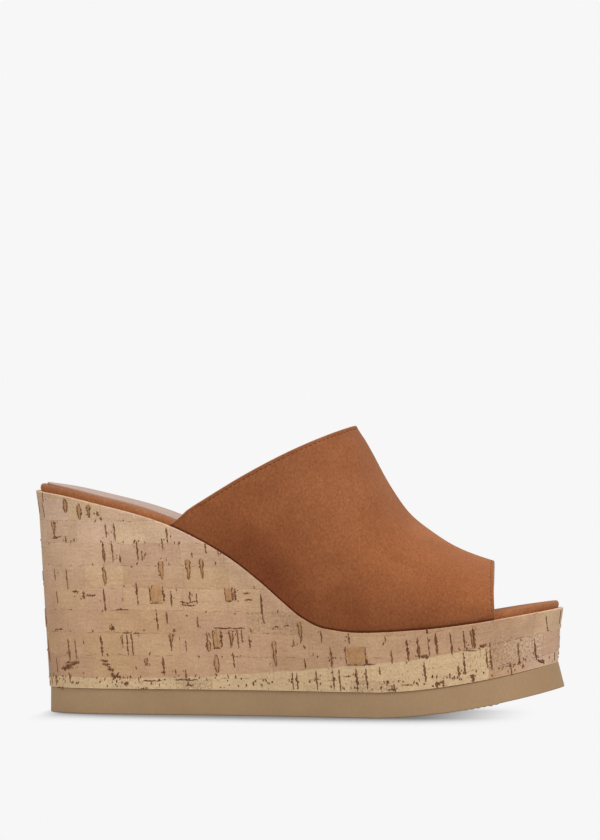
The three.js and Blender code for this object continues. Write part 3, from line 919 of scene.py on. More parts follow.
# %% [markdown]
# ## Bark marks
# Cork is bark, so its pores run through the veneer as upright brown marks, most of them leaning a little,
# with a ragged outline. Painting them in the shader would blur them, so each is a thin inlay that follows
# the wall. The marks on the outer side stand where the photograph shows them. Their chart is read off it,
# in its pixels, and the camera's own numbers carry each place onto the wall. The hidden sides get
# a seeded scatter of the same kinds of mark.

# %% The camera's numbers, and the way from the photograph to the wall
PHOTO_WIDTH = 600
PHOTO_HEIGHT = 840
SENSOR = 36
LENS = 242
CAMERA_DISTANCE = 2500
CAMERA_HEIGHT = 122
CAMERA_AIM = np.array([-0.15, 0.755, 129.8])
CAMERA_SWING = math.radians(5)
CAMERA_ROLL = math.radians(0.3)
PIXELS = LENS / SENSOR * PHOTO_HEIGHT
PIXEL_SIZE = CAMERA_DISTANCE / PIXELS
HEEL_PIXEL = 40
SHOE_PIXELS = 520
ROUNDS = 12
NEAR_END = 0.002

camera_place = CAMERA_AIM + CAMERA_DISTANCE * np.array([math.sin(CAMERA_SWING), -math.cos(CAMERA_SWING), 0])
camera_place[2] = CAMERA_HEIGHT
forward = (CAMERA_AIM - camera_place) / np.linalg.norm(CAMERA_AIM - camera_place)
level_right = np.cross(forward, (0, 0, 1))
level_right /= np.linalg.norm(level_right)
level_up = np.cross(level_right, forward)
right = level_right * math.cos(CAMERA_ROLL) + level_up * math.sin(CAMERA_ROLL)
up = level_up * math.cos(CAMERA_ROLL) - level_right * math.sin(CAMERA_ROLL)


def photo_to_wall(px, py):
    """The share of the length and the share of the wall's depth that a pixel sees on the outer side.

    A ray through the pixel meets the upright plane through a first guess of the place on the wall, and the
    place is worked out again from where it meets, round after round."""
    across = (px - PHOTO_WIDTH / 2) / PIXELS
    rise = (PHOTO_HEIGHT / 2 - py) / PIXELS
    ray = forward + across[..., None] * right + rise[..., None] * up
    s = np.clip((px - HEEL_PIXEL) / SHOE_PIXELS, 0.01, 0.99)
    share = np.full_like(s, 0.5)
    for _ in range(ROUNDS):
        wall = wall_point(s, -1, share) + SHIFT
        reach = (wall[..., 1] - camera_place[1]) / ray[..., 1]
        seen = camera_place + reach[..., None] * ray
        s = np.clip(s + (seen[..., 0] - wall[..., 0]) / LENGTH, NEAR_END, 1 - NEAR_END)
        _, foot_z = sheet_point(s, OUTSOLE_THICKNESS + CLEARANCE)
        share = (lip_height(s) - seen[..., 2]) / (lip_height(s) - foot_z)
    return s, share


print("one pixel is", round(PIXEL_SIZE, 3), "mm at the shoe")

# %% The chart of the marks
TICKS = table("x top bottom width", [
    (88.7, 504, 518, 1.3), (96.8, 511, 516, 2.0), (65.5, 536, 543, 1.6), (74, 538, 542, 1.4),
    (105.7, 523, 538, 1.5), (114.3, 522, 542, 1.7), (112, 541, 563, 1.6), (120, 554, 563, 1.4),
    (103.6, 541, 564, 2.6), (104.3, 588, 612, 1.6), (137, 540, 561, 1.6), (142, 550, 561, 1.5),
    (162, 538, 551, 1.4), (167, 527, 543, 1.5), (192, 552, 558, 1.4), (205, 543, 553, 1.6),
    (218, 550, 556, 1.4), (55, 568, 581, 1.3), (67, 568, 590, 1.6), (83.8, 590, 599, 2.4),
    (137, 582, 606, 1.9), (171, 590, 607, 1.6), (190, 591, 602, 1.5), (197, 593, 604, 1.2),
    (235, 588, 601, 2.4), (262, 593, 623, 2.0), (157.5, 611, 631, 1.5), (167, 611, 624, 1.4),
    (198, 616, 628, 1.5), (217, 629, 649, 1.8), (230, 629, 649, 1.5), (238, 629, 649, 1.5),
    (242, 629, 643, 1.3), (249.5, 635, 649, 1.5), (207.5, 631, 651, 1.6), (171, 632, 652, 1.5),
    (186, 640, 652, 1.4), (122.7, 634, 649, 1.3), (127.7, 634, 656, 1.5), (132.5, 633, 656, 1.5),
    (101.5, 635, 657, 2.0), (69, 638, 662, 1.8), (76, 638, 660, 1.4), (49.5, 639, 663, 1.3),
    (69.5, 672, 683, 1.6), (163.5, 656, 676, 1.8), (176, 669, 675, 1.5), (186, 669, 678, 1.5),
    (234, 654, 668, 1.5), (294, 639, 646, 1.3), (305, 658, 669, 1.6), (293, 672, 690, 1.3),
    (297.5, 672, 690, 1.3), (317, 670, 691, 1.5), (321, 630, 644, 1.4), (348.7, 633, 644, 1.5),
    (331, 646, 669, 2.0), (385, 636, 642, 1.4), (391.7, 650, 664, 1.5), (407.5, 639, 662, 2.3),
    (418.5, 637, 660, 2.3), (428.5, 636, 655, 1.1), (436.5, 632, 656, 2.2), (451, 632, 656, 1.6),
    (464, 630, 649, 1.5), (473.5, 627, 649, 2.8), (490, 642, 648, 1.4), (426.8, 629, 634, 1.4),
    (425, 661, 683, 1.8), (464.5, 652, 675, 2.2), (459, 665, 677, 1.6), (450, 673, 679, 1.4),
    (487, 648, 669, 1.5), (491, 648, 671, 1.5), (472.7, 675, 682, 2.6), (356.7, 668, 692, 2.4),
    (366.8, 668, 690, 1.5), (340, 669, 692, 1.6), (333.5, 669, 690, 1.4), (547, 615, 632, 1.5),
    (519, 642, 666, 1.6), (535.5, 638, 661, 2.0), (511, 664, 675, 1.6), (43, 492, 503, 1.5),
    (380, 667, 675, 1.5), (394, 684, 690, 1.5), (437, 681, 688, 2.2), (443, 680, 687, 2.4),
])
LENSES = table("x top bottom width blunt", [
    (64.8, 498, 513, 4.6, 0), (79, 503, 520, 4.6, 0), (88.5, 505, 518, 4.2, 1), (104.3, 565, 586, 3.4, 0),
    (161.5, 561, 580, 7.0, 1), (188, 559, 580, 6.0, 1), (202, 558, 579, 4.6, 1), (217, 654, 673, 5.6, 0),
    (275, 640, 667, 5.2, 1), (300, 621, 644, 4.8, 1), (171, 634, 643, 5.4, 1), (146.5, 658, 666, 3.6, 1),
    (209, 640, 652, 4.6, 0), (231, 630, 646, 5.0, 1), (472, 630, 648, 3.0, 1), (53.5, 520, 537, 3.6, 1),
])
PATCHES = table("left right top bottom", [
    (149.5, 163, 585, 603), (225, 232.5, 587, 601), (213, 221, 630, 648), (346, 366, 646, 665),
])
DASHES = table("left right y width", [
    (72, 79, 591.5, 2.0), (86, 96, 595, 2.4), (116, 129, 609.5, 1.6), (181, 196, 605, 1.8),
    (213, 246, 628, 1.8), (242, 251, 593, 1.9), (244, 253, 600, 1.6), (343, 351, 676, 1.5),
    (364, 376, 664, 1.6), (52, 56, 523, 2.2), (53, 61, 536.5, 1.6), (55, 63, 629, 1.5),
    (64, 80, 663, 3.0), (61, 70, 668, 3.2), (100, 108, 660, 2.0), (108, 114, 669, 3.6),
    (113, 120, 677, 4.4), (102, 111, 664, 2.0), (479, 487, 646, 3.4), (421, 429, 657, 4.0),
    (537, 545, 661, 3.0), (463, 477, 650.5, 1.4), (400, 414, 685, 1.4), (141, 163, 680.5, 1.4),
    (173, 200, 679.5, 1.3), (122, 131, 632.5, 1.6), (133, 140, 633.5, 2.0), (284, 289, 626, 2.6),
    (274, 279, 627, 1.6), (109, 115, 629, 3.0), (52, 58, 538, 1.6), (506, 512, 666, 1.5),
    (140, 148, 688, 1.4), (185, 194, 685, 1.2), (124, 129, 683, 3.4), (56, 64, 687, 1.2),
])
KNOTS = table("left top right bottom width", [
    (64, 669, 73, 664, 3.6), (71, 665, 80, 661, 2.4), (103.5, 660.5, 108, 661.5, 2.0),
    (107, 665, 111, 671, 2.6), (111.5, 672, 115, 679, 3.4), (116, 677, 119, 672, 1.8),
    (161.5, 672, 166, 672, 2.4), (111, 624, 113.5, 629, 2.4), (188, 603, 196.5, 601, 1.8),
    (180, 601, 189, 604, 1.8), (423, 655, 428, 658, 3.2), (387, 690, 397, 689, 2.0),
    (435, 684, 443, 682, 3.0), (479, 646, 487, 644, 2.8), (470, 675, 474.5, 678, 3.2),
    (537, 660, 543, 663, 2.4),
])

# %% [markdown]
# ### One inlay, and all of them
# An inlay is a flat tube: its middle line runs down the wall, its half width swells from nothing and goes
# back to nothing, and a seeded wave makes its edges ragged. Its ring has four points: two edges on the
# wall, a ridge just above it and a root just inside it.

# %% Inlays that follow the wall
INLAY_STEPS = 13
INLAY_PROUD = 0.07
INLAY_EDGE = 0.02
INLAY_ROOT = 0.25
WALL_STEP = 1e-4
SHORTEST_STEP = 1e-9
BLUNT_POWER = 0.6
ragged = np.random.default_rng(5)


def wall_normal(s, side, share):
    """The way straight out of the wall, from the cross product of its two directions."""
    lengthways = wall_point(s + WALL_STEP, side, share) - wall_point(s - WALL_STEP, side, share)
    downwards = wall_point(s, side, share + WALL_STEP) - wall_point(s, side, share - WALL_STEP)
    outward = np.cross(lengthways, downwards) * -side
    return outward / np.linalg.norm(outward, axis=-1, keepdims=True)


def inlay(s, share, half, side, proud, rough):
    """A ring of four points at each place of a middle line on the wall."""
    middle = wall_point(s, side, share)
    normal = wall_normal(s, side, share)
    line = np.gradient(middle, axis=0)
    line /= np.maximum(np.linalg.norm(line, axis=1, keepdims=True), SHORTEST_STEP)
    across = np.cross(normal, line)
    left = half * (1 + rough * ragged.uniform(-1, 1, len(s)))
    right_half = half * (1 + rough * ragged.uniform(-1, 1, len(s)))
    open_here = (half > 0)[:, None]
    ring = [middle + across * left[:, None] + normal * INLAY_EDGE, middle + normal * proud * open_here,
            middle - across * right_half[:, None] + normal * INLAY_EDGE,
            middle - normal * INLAY_ROOT * open_here]
    rows = np.stack(ring + ring[:1], 1)
    rows[[0, -1]] = middle[[0, -1], None]
    return rows


def swelling(count, fullness, blunt=0):
    """Half widths from 0 over 1 back to 0, a sine to a power. Blunt ones are widest at their start."""
    t = np.linspace(0, 1, count)
    lens = np.sin(np.pi * t) ** fullness
    wedge_shape = np.minimum(1, t * count) * (1 - t) ** BLUNT_POWER
    return wedge_shape if blunt else lens


# %% The charted marks, as strokes of several looks
# fullness of the shape, roughness of the edge, height over the wall, and the share of gaps
TICK_LOOK = (0.4, 0.65, INLAY_PROUD, 0.12)
SPECK_LOOK = (0.5, 0.7, INLAY_PROUD, 0.0)
BORDER_LOOK = (0.3, 0.9, INLAY_PROUD, 0.3)
PATCH_SIDE_LOOK = (0.3, 0.9, INLAY_PROUD, 0.25)
DASH_LOOK = (0.5, 0.8, INLAY_PROUD, 0.2)
KNOT_LOOK = (0.5, 0.9, INLAY_PROUD, 0.1)
LENS_FILL = (0.6, 0.3, INLAY_PROUD / 2, 0.0)
PATCH_FILL = (0.12, 0.16, INLAY_PROUD / 2, 0.0)

# in the photograph's pixels: widths, and how far a line bends or wanders
TICK_WIDEN = 1.2
BORDER_WIDTH = 1.5
PATCH_LEFT_WIDTH = 1.4
PATCH_RIGHT_WIDTH = 2.4
TICK_BEND = 0.5
LENS_WANDER = 0.5
DASH_SAG = 0.5
DASH_WANDER = 0.25
KNOT_WANDER = 0.4
SPECK_AWAY = (1.5, 3.5)
SPECK_SIZE = (0.8, 2.4)
SPECK_WIDTH = (0.6, 1.3)
NEAR_DASH = 2
KNOT_SPECKS_BELOW = 3

LEAN = math.radians(6)
LEFT_IN_GAP = 0.2
LENS_BOW = 0.4
LENS_BOW_FULLNESS = 0.6
LENS_FILLED = 0.8
SPECKS_BESIDE = 2
dark_rings, tan_rings = [], []
along_line = np.linspace(0, 1, INLAY_STEPS)


def photo_line(x, y, width, look, blunt=0):
    """An inlay along a line of photograph pixels. Gaps is the share of its places that nearly vanish."""
    fullness, rough, proud, gaps = look
    s, share = photo_to_wall(np.asarray(x, float), np.asarray(y, float))
    half = width / 2 * PIXEL_SIZE * swelling(len(s), fullness, blunt)
    half = half * np.where(ragged.random(len(s)) < gaps, LEFT_IN_GAP, 1)
    return inlay(s, share, half, -1, proud, rough)


def tick_line(x, top, bottom):
    """Pixels down a mark that leans like a backslash, with a slight bend."""
    y = np.linspace(top, bottom, INLAY_STEPS)
    bend = TICK_BEND * ragged.uniform(-1, 1) * np.sin(np.linspace(0, np.pi, INLAY_STEPS))
    return x + (y - (top + bottom) / 2) * math.tan(LEAN) + bend, y


def wander(size):
    """A small random shift for each place of a line."""
    return size * ragged.uniform(-1, 1, INLAY_STEPS)


def specks_beside(x, top, bottom):
    """A few crumbs of bark next to a mark."""
    for _ in range(ragged.integers(0, SPECKS_BESIDE + 1)):
        speck_x = x + ragged.choice([-1, 1]) * ragged.uniform(*SPECK_AWAY)
        speck_y = ragged.uniform(top, bottom)
        line = tick_line(speck_x, speck_y, speck_y + ragged.uniform(*SPECK_SIZE))
        dark_rings.append(photo_line(*line, ragged.uniform(*SPECK_WIDTH), SPECK_LOOK))


for x, top, bottom, width in zip(*TICKS.values()):
    dark_rings.append(photo_line(*tick_line(x, top, bottom), width * TICK_WIDEN, TICK_LOOK))
    specks_beside(x, top, bottom)
for x, top, bottom, width, blunt in zip(*LENSES.values()):
    line_x, line_y = tick_line(x, top, bottom)
    bow = LENS_BOW * width * swelling(INLAY_STEPS, LENS_BOW_FULLNESS, blunt)
    tan_rings.append(photo_line(line_x, line_y, LENS_FILLED * width, LENS_FILL, blunt))
    for edge_side in (-1, 1):
        side_x = line_x + edge_side * bow + wander(LENS_WANDER)
        dark_rings.append(photo_line(side_x, line_y, BORDER_WIDTH, BORDER_LOOK))
    specks_beside(x, top, bottom)
for left, far, top, bottom in zip(*PATCHES.values()):
    line_x, line_y = tick_line((left + far) / 2, top, bottom)
    tan_rings.append(photo_line(line_x, line_y, far - left, PATCH_FILL))
    for x, width in ((left, PATCH_LEFT_WIDTH), (far, PATCH_RIGHT_WIDTH)):
        dark_rings.append(photo_line(*tick_line(x, top, bottom), width, PATCH_SIDE_LOOK))
    across_x = mix(left, far, along_line)
    dark_rings.append(photo_line(across_x, bottom + 0 * across_x, BORDER_WIDTH, BORDER_LOOK))
for left, far, y, width in zip(*DASHES.values()):
    sag = y + DASH_SAG * ragged.uniform(-1, 1) * np.sin(np.pi * along_line) + wander(DASH_WANDER)
    dark_rings.append(photo_line(mix(left, far, along_line), sag, width, DASH_LOOK))
    specks_beside((left + far) / 2, y - NEAR_DASH, y + NEAR_DASH)
for left, top, far, bottom, width in zip(*KNOTS.values()):
    line_x = mix(left, far, along_line) + wander(KNOT_WANDER)
    line_y = mix(top, bottom, along_line) + wander(KNOT_WANDER)
    dark_rings.append(photo_line(line_x, line_y, width, KNOT_LOOK))
    specks_beside((left + far) / 2, top - NEAR_DASH, top + KNOT_SPECKS_BELOW)
print("charted marks:", len(dark_rings), "dark,", len(tan_rings), "tan")

# %% [markdown]
# ### The scatter
# On the inner side and round the two ends the marks are drawn by lot. They keep to the strips, as the
# real ones do, because a mark can't run on from one block of cork into the next. Small crumbs go all
# round, thickest in the lowest strip and along the joints between the strips.

# %% A seeded scatter for the hidden sides, and small specks all round
SCATTER_FULLNESS = 0.45
SCATTER_ROUGH = 0.35
WALL_PART = (0.03, 1.0)

HIDDEN_MARKS = 210
INNER_CHANCE = 0.86
MARK_MARGIN = 4
HEEL_PART = (2, 26)
TOE_PART = (2, 22)
MARK_STRIPS = (-1, 9)
MARK_START = (0, 0.3)
MARK_SHARE = (0.35, 1)
MARK_WIDTH = (0.5, 1.2)
MARK_LOWEST = 0.5
MARK_SHORTEST = 1

SMALL_SPECKS = 620
SIDE_CHANCE = 0.5
LOW_CHANCE = 0.4
JOINT_CHANCE = 0.8
CRUMB_LOWEST = 0.3
CRUMB_HIGHEST = 80
CRUMB_STRIPS = (0, 8)
CRUMB_SPREAD = (-0.4, 0.5)
CRUMB_HEIGHT = (0.5, 1.8)
CRUMB_MARGIN = 2
CRUMB_WIDTH = (0.3, 0.95)
CRUMB_LEAN = (-0.6, 0.6)
lot = np.random.default_rng(11)
perimeter = walked_sides[1][-1]


def place_at(walked, side, height):
    """Shares of the length and of the wall's depth, from a length round the shoe and a height."""
    s = np.interp(walked, walked_sides[side], fine_shares)
    _, foot_z = sheet_point(s, OUTSOLE_THICKNESS + CLEARANCE)
    return s, (lip_height(s) - foot_z - height) / (lip_height(s) - foot_z)


def scattered(side, walked, low, high, width, lean):
    """An upright mark at a length round the shoe between two heights, or None where the wall is too low."""
    height = np.linspace(high, low, INLAY_STEPS)
    s, share = place_at(walked + (high - height) * lean, side, height)
    if share.min() < WALL_PART[0] or share.max() > WALL_PART[1]:
        return None
    half = width / 2 * swelling(INLAY_STEPS, SCATTER_FULLNESS)
    return inlay(s, share, half, side, INLAY_PROUD, SCATTER_ROUGH)


for _ in range(HIDDEN_MARKS):
    side = 1 if lot.random() < INNER_CHANCE else -1
    walked = lot.uniform(MARK_MARGIN, perimeter - MARK_MARGIN)
    if side < 0:
        walked = lot.choice([lot.uniform(*HEEL_PART), perimeter - lot.uniform(*TOE_PART)])
    strip_low = FIRST_STRIP + STRIP_HEIGHT * lot.integers(*MARK_STRIPS)
    low = max(MARK_LOWEST, strip_low + lot.uniform(*MARK_START) * STRIP_HEIGHT)
    high = min(strip_low + STRIP_HEIGHT, low + lot.uniform(*MARK_SHARE) * STRIP_HEIGHT)
    mark = scattered(side, walked, low, high, lot.uniform(*MARK_WIDTH), math.tan(LEAN) * side * -1)
    if mark is not None and high - low > MARK_SHORTEST:
        dark_rings.append(mark)
for _ in range(SMALL_SPECKS):
    side = 1 if lot.random() < SIDE_CHANCE else -1
    kind = lot.random()
    if kind < LOW_CHANCE:
        low = lot.uniform(CRUMB_LOWEST, FIRST_STRIP)
    elif kind < JOINT_CHANCE:
        low = FIRST_STRIP + STRIP_HEIGHT * lot.integers(*CRUMB_STRIPS) + lot.normal(*CRUMB_SPREAD)
    else:
        low = lot.uniform(FIRST_STRIP, CRUMB_HIGHEST)
    high = low + lot.uniform(*CRUMB_HEIGHT)
    walked = lot.uniform(CRUMB_MARGIN, perimeter - CRUMB_MARGIN)
    width, lean = lot.uniform(*CRUMB_WIDTH), lot.uniform(*CRUMB_LEAN)
    mark = scattered(side, walked, low, high, width, lean)
    if mark is not None:
        dark_rings.append(mark)


def ring_grids(rings):
    """Grids for inlays: every mark is its own small closed surface."""
    return [(ring, plain_map(ring), 0) for ring in rings]


make_piece("bark_marks", ring_grids(dark_rings), [dark_bark])
make_piece("bark_fill", ring_grids(tan_rings), [tan_bark])

# %% [markdown]
# ## The outsole
# A rubber sheet with a plain ground side and fine ribs across its underside. The ribs end in a flat border
# so that the edge stays whole. The lower edge isn't quite clean: a few small nibs are left from the mould.

# %% The outsole with its ribs and nibs
RIB_PITCH = 4.2
RIB_DEPTH = 0.5
RIB_BORDER = 7
EDGE_EASE = 0.35
SOLE_STEPS = 420
SOLE_ACROSS = 24
EASE_POINTS = 4
SIDE_POINTS = 8
SIDE_MARGIN = 0.8
RIB_FADE = 1.5
RIB_ENDS = (0.46, 0.48)
NIB_HEIGHT = 1.5
NIB_OFF_FLOOR = 0.6
NIB_LEVEL = 0.6
NIB_WAVE = 2.3
NIBS = table("x length drop", [
    (20.5, 6, 0.25), (30, 9, 0.35), (47, 4, 0.2), (196, 14, 0.45), (204, 5, 0.5), (184, 6, 0.25),
])


def sole_reach(s, up):
    """Half width of the outsole, a way up from its underside."""
    _, half, roundness = plan(s)
    _, foot_z = sheet_point(s, OUTSOLE_THICKNESS + CLEARANCE)
    inset = side_inset(lip_height(s) - foot_z) + OUTSOLE_STEP + SIDE_DRAFT * (OUTSOLE_THICKNESS - up)
    return half - inset * roundness


def outsole_grids():
    """Two sides with eased edges, a flat top and a ribbed underside."""
    s = even_stations(SOLE_STEPS)[:, None]
    middle, _, roundness = plan(s)
    turn = np.linspace(0, np.pi / 2, EASE_POINTS)
    low_up, low_in = EDGE_EASE * (1 - np.cos(turn)), EDGE_EASE * (1 - np.sin(turn))
    side_ups = np.linspace(SIDE_MARGIN, OUTSOLE_THICKNESS - SIDE_MARGIN, SIDE_POINTS)
    ups = np.concatenate([low_up, side_ups, OUTSOLE_THICKNESS - low_up[::-1]])
    insets = np.concatenate([low_in, np.zeros(SIDE_POINTS), low_in[::-1]])[None, :]
    nib = sum(drop * np.exp(-((s * LENGTH - x) / (length / 2)) ** 2)
              for x, length, drop in zip(*NIBS.values()))
    nib = nib * (NIB_LEVEL + (1 - NIB_LEVEL) * np.sin(s * LENGTH * NIB_WAVE))
    grids = []
    for side in (-1, 1):
        up = ups[None, :]
        x, z = sheet_point(s, up)
        x, y = eased(x + OUTSOLE_STEP * (1 - s), middle + side * sole_reach(s, up), side, insets)
        low_outside = (1 - smoothstep(up, 0, NIB_HEIGHT)) * (side < 0) * (roundness > 0.5)
        loose = nib * low_outside * (z > NIB_OFF_FLOOR)
        rows = point(x, y, z - loose)
        grids.append((rows, plain_map(rows), 0))
    outer, inner = grids[0][0], grids[1][0]
    share = crowded_shares(SOLE_ACROSS)[None, :, None]
    under = mix(outer[:, :1], inner[:, :1], share)
    half_wave = 0.5 - 0.5 * np.cos(2 * np.pi * under[..., 0] / RIB_PITCH)
    to_edge = np.minimum(under[..., 1] - outer[:, :1, 1], inner[:, :1, 1] - under[..., 1])
    within = smoothstep(to_edge, RIB_BORDER - RIB_FADE, RIB_BORDER)
    within = within * (1 - smoothstep(np.abs(s - 0.5), *RIB_ENDS))
    under[..., 2] += RIB_DEPTH * half_wave**2 * within
    top = mix(outer[:, -1:], inner[:, -1:], share)
    return grids + [(under, plain_map(under), 0), (top, plain_map(top), 0)]


make_piece("rubber_outsole", outsole_grids(), [rubber], "outsole")


# %% [markdown]
# ## Footbed and sock
# The footbed is a board wrapped in the upper's suede, so its edge is a soft roll. It shows behind the
# collar and in front of the toe opening, and between them it is tucked in beside the upper. The sock is a
# thin leather sheet on top of it, with its edge just inside the roll. In the toe opening only suede shows,
# so the sock ends under the upper.

# %% Where the collar and the toe opening lie
PEAK_X = COLLAR_PEAK * LENGTH
COLLAR_X = COLLAR_START * LENGTH
OPENING_X = OPENING_PLACE * LENGTH
PEAK_Z = BALL_EDGE + INSTEP_HEIGHT
TUCK_RUN = 4
TUCK_GAP = 1


def ridge_height(x):
    """Height of the upper's ridge, carried on straight behind the collar's peak."""
    end = lip_height(OPENING_PLACE) + OPENING_HEIGHT
    run = OPENING_X - PEAK_X
    first_slope = (RIDGE["height"][1] - RIDGE["height"][0]) / (RIDGE["at"][1] - RIDGE["at"][0])
    behind = PEAK_Z + first_slope * (PEAK_Z - end) / run * (x - PEAK_X)
    return np.where(x < PEAK_X, behind, mix(end, PEAK_Z, ridge_share((x - PEAK_X) / run)))


def opening_place(turn):
    """Where the toe opening's edge crosses the arch."""
    return OPENING_X + OPENING_SWEEP * (1 - 2 * turn)


def footbed_inset(x, side):
    """How far the footbed's edge stands in from the lip: the rim's inset, or the tuck beside the upper."""
    s = np.clip(x / LENGTH, 0, 1)
    front = opening_place(0 if side < 0 else 1)
    covered = (smoothstep(x, COLLAR_X - TUCK_GAP - TUCK_RUN, COLLAR_X - TUCK_GAP)
               * (1 - smoothstep(x, front + TUCK_GAP, front + TUCK_GAP + TUCK_RUN)))
    stack = FOOTBED_THICKNESS + CLEARANCE + SOCK_THICKNESS
    height = ridge_height(np.clip(x, COLLAR_X, front)) - lip_height(s)
    up_share = np.clip(stack / height, 0, 1)
    _, half, _ = plan(s)
    narrowing = half * (1 - (1 - up_share**ARCH_UP) ** (1 / ARCH_ACROSS))
    tucked = UPPER_INSET + WALL + CLEARANCE + narrowing
    return mix(RIM_INSET, np.maximum(RIM_INSET, tucked), covered)


print("collar from", round(COLLAR_X), "to", round(PEAK_X), "mm, toe opening at", round(OPENING_X), "mm")

# %% The footbed's rolled rim and the sock
ROLL_STEPS = 12
ROLL_FROM = math.radians(-55)
SOCK_ROLL = 0.25
SOCK_SUNK = 0.1
RESTING_GAP = 0.02


def bed_height(x, y, s):
    """Height of the cork's top under the footbed: the lip's line, hollowed across the heel."""
    middle, half, roundness = plan(s)
    across = np.clip(np.abs(y - middle) / np.maximum(half, 1e-9), 0, 1)
    place = np.clip(x / LENGTH, 0, 1)
    return lip_height(place) - dish_depth(place, across) * roundness


def board_grids(inset_at, end_inset, low, high, roll, front=1.0):
    """A board between two heights over the cork, with a rolled edge. A front under 1 cuts its toe off."""
    s = stations[:, None] * front
    x = mix(end_inset, LENGTH - end_inset, s)
    middle, half, roundness = plan(s)
    turn = np.linspace(ROLL_FROM, np.pi / 2, ROLL_STEPS + 1)[None, :]
    ups = mix(low, high, (np.sin(turn) - math.sin(ROLL_FROM)) / (1 - math.sin(ROLL_FROM)))
    rows = []
    for side in (-1, 1):
        edge = middle + side * (half - inset_at(x, side) * roundness)
        row_x, row_y = eased(x, edge, side, roll * (1 - np.cos(turn)), front == 1)
        rows.append(point(row_x, row_y, bed_height(row_x, row_y, s) + ups))
    outer, inner = rows
    share = np.linspace(0, 1, ACROSS_ROWS + 1)[None, :, None]
    for column, up in ((0, low), (-1, high)):
        cap = mix(outer[:, column, None], inner[:, column, None], share)
        cap[..., 2] = bed_height(cap[..., 0], cap[..., 1], s) + up
        rows.append(cap)
    if front < 1:
        cut = mix(outer[-1][:, None], inner[-1][:, None], share)
        cut[..., 2] = bed_height(cut[..., 0], cut[..., 1], s[-1:]) + ups.T
        rows.append(cut)
    return [(grid, plain_map(grid), 0) for grid in rows]


footbed_top = CLEARANCE + FOOTBED_THICKNESS
sock_top = footbed_top + CLEARANCE + SOCK_THICKNESS
footbed_parts = board_grids(footbed_inset, RIM_END_INSET, RESTING_GAP, footbed_top, RIM_ROUND)
sock_parts = board_grids(lambda x, side: SOCK_INSET, SOCK_INSET, footbed_top - SOCK_SUNK, sock_top,
                         SOCK_ROLL, SOCK_FRONT)
make_piece("suede_footbed", footbed_parts, [rim_suede], "footbed")
make_piece("leather_sock", sock_parts, [sock_leather], "sock")


# %% [markdown]
# ## The upper
# One piece of suede, lined and pulled over the last. Seen across, it is an arch, and seen along, its ridge
# falls from the collar's peak to the toe opening. Its two free edges are folded in and stitched, so they
# are rounded, a little thicker, and have a shallow channel where the thread pulls them down. A few soft
# troughs stand where the suede gives a little. They are listed one by one: each has a place, a direction, a
# length, a width and a depth.

# %% The arch, the collar's line and the rows of the grid
HALVINGS = 40


def upper_point(x, turn):
    """The outer face: across, a superellipse arch that swells past the outline; up, from lip to ridge."""
    s = x / LENGTH
    middle, half, _ = plan(s)
    foot = lip_height(s) + CLEARANCE
    sine, cosine = np.sin(np.pi * turn), -np.cos(np.pi * turn)
    rise = np.maximum(0, sine) ** (2 / ARCH_UP)
    out = np.sign(cosine) * np.abs(cosine) ** (2 / ARCH_ACROSS)
    swell_out = SIDE_SWELL_WIDTH * 4 * rise * (1 - rise)
    y = middle + out * (half - UPPER_INSET + swell_out) + RIDGE_SHIFT * rise**2
    return point(x, y, mix(foot, ridge_height(x), rise))


def collar_height(x):
    """Height of the collar's edge, seen from the side."""
    t = np.clip((x - COLLAR_X) / (PEAK_X - COLLAR_X), 0, 1)
    return mix(lip_height(COLLAR_START) + CLEARANCE, PEAK_Z, collar_share(t))


def collar_place(turn):
    """Where the collar's edge crosses the arch at each turn, found by halving."""
    low, high = np.full_like(turn, COLLAR_X), np.full_like(turn, PEAK_X)
    for _ in range(HALVINGS):
        x = (low + high) / 2
        above_edge = upper_point(x, turn)[..., 2] > collar_height(x)
        low, high = np.where(above_edge, x, low), np.where(above_edge, high, x)
    return (low + high) / 2


TURNS = 150
LENGTH_ROWS = 96
EDGE_ROWS = 26
EDGE_BAND = 9.0
EDGE_CROWDING = 1.5
EDGE_STEP = 0.5
ROUND_REACH = 0.75 * WALL / 2
turns = np.linspace(0, 1, TURNS + 1)
starts, stops = collar_place(turns), opening_place(turns)


def edge_offsets(from_edge, edge_x, other_x):
    """x along the arch's lines for distances square to an edge."""
    moved = upper_point(edge_x + EDGE_STEP, turns) - upper_point(edge_x - EDGE_STEP, turns)
    reach = np.linalg.norm(moved, axis=1, keepdims=True)
    edge_line = np.gradient(upper_point(edge_x, turns), axis=0)
    edge_line /= np.linalg.norm(edge_line, axis=1, keepdims=True)
    square = np.linalg.norm(np.cross(moved / reach, edge_line), axis=1)
    per_x = reach[:, 0] / (2 * EDGE_STEP)
    return edge_x[None, :] + np.sign(other_x - edge_x) * from_edge[:, None] / (square * per_x)[None, :]


def upper_rows():
    """x of each row of the upper's grid: fine bands that follow both edges, and even rows between."""
    band = ROUND_REACH + EDGE_BAND * np.linspace(0, 1, EDGE_ROWS + 1) ** EDGE_CROWDING
    at_collar = edge_offsets(band, starts, stops)
    at_opening = edge_offsets(band, stops, starts)[::-1]
    between = np.linspace(0, 1, LENGTH_ROWS - 2 * EDGE_ROWS + 2)[1:-1, None]
    body = mix(at_collar[-1][None, :], at_opening[0][None, :], between)
    return np.concatenate([at_collar, body, at_opening]), band


row_x, band = upper_rows()
print("upper's grid:", row_x.shape, "rows and turns")

# %% [markdown]
# ### Soft folds and stitched edges
# The relief of the suede is added along the face's own direction. A trough is a bell curve across its
# line and fades out along it. The fold at an edge is a band that stands up a little, with the stitch
# channel just inside it.

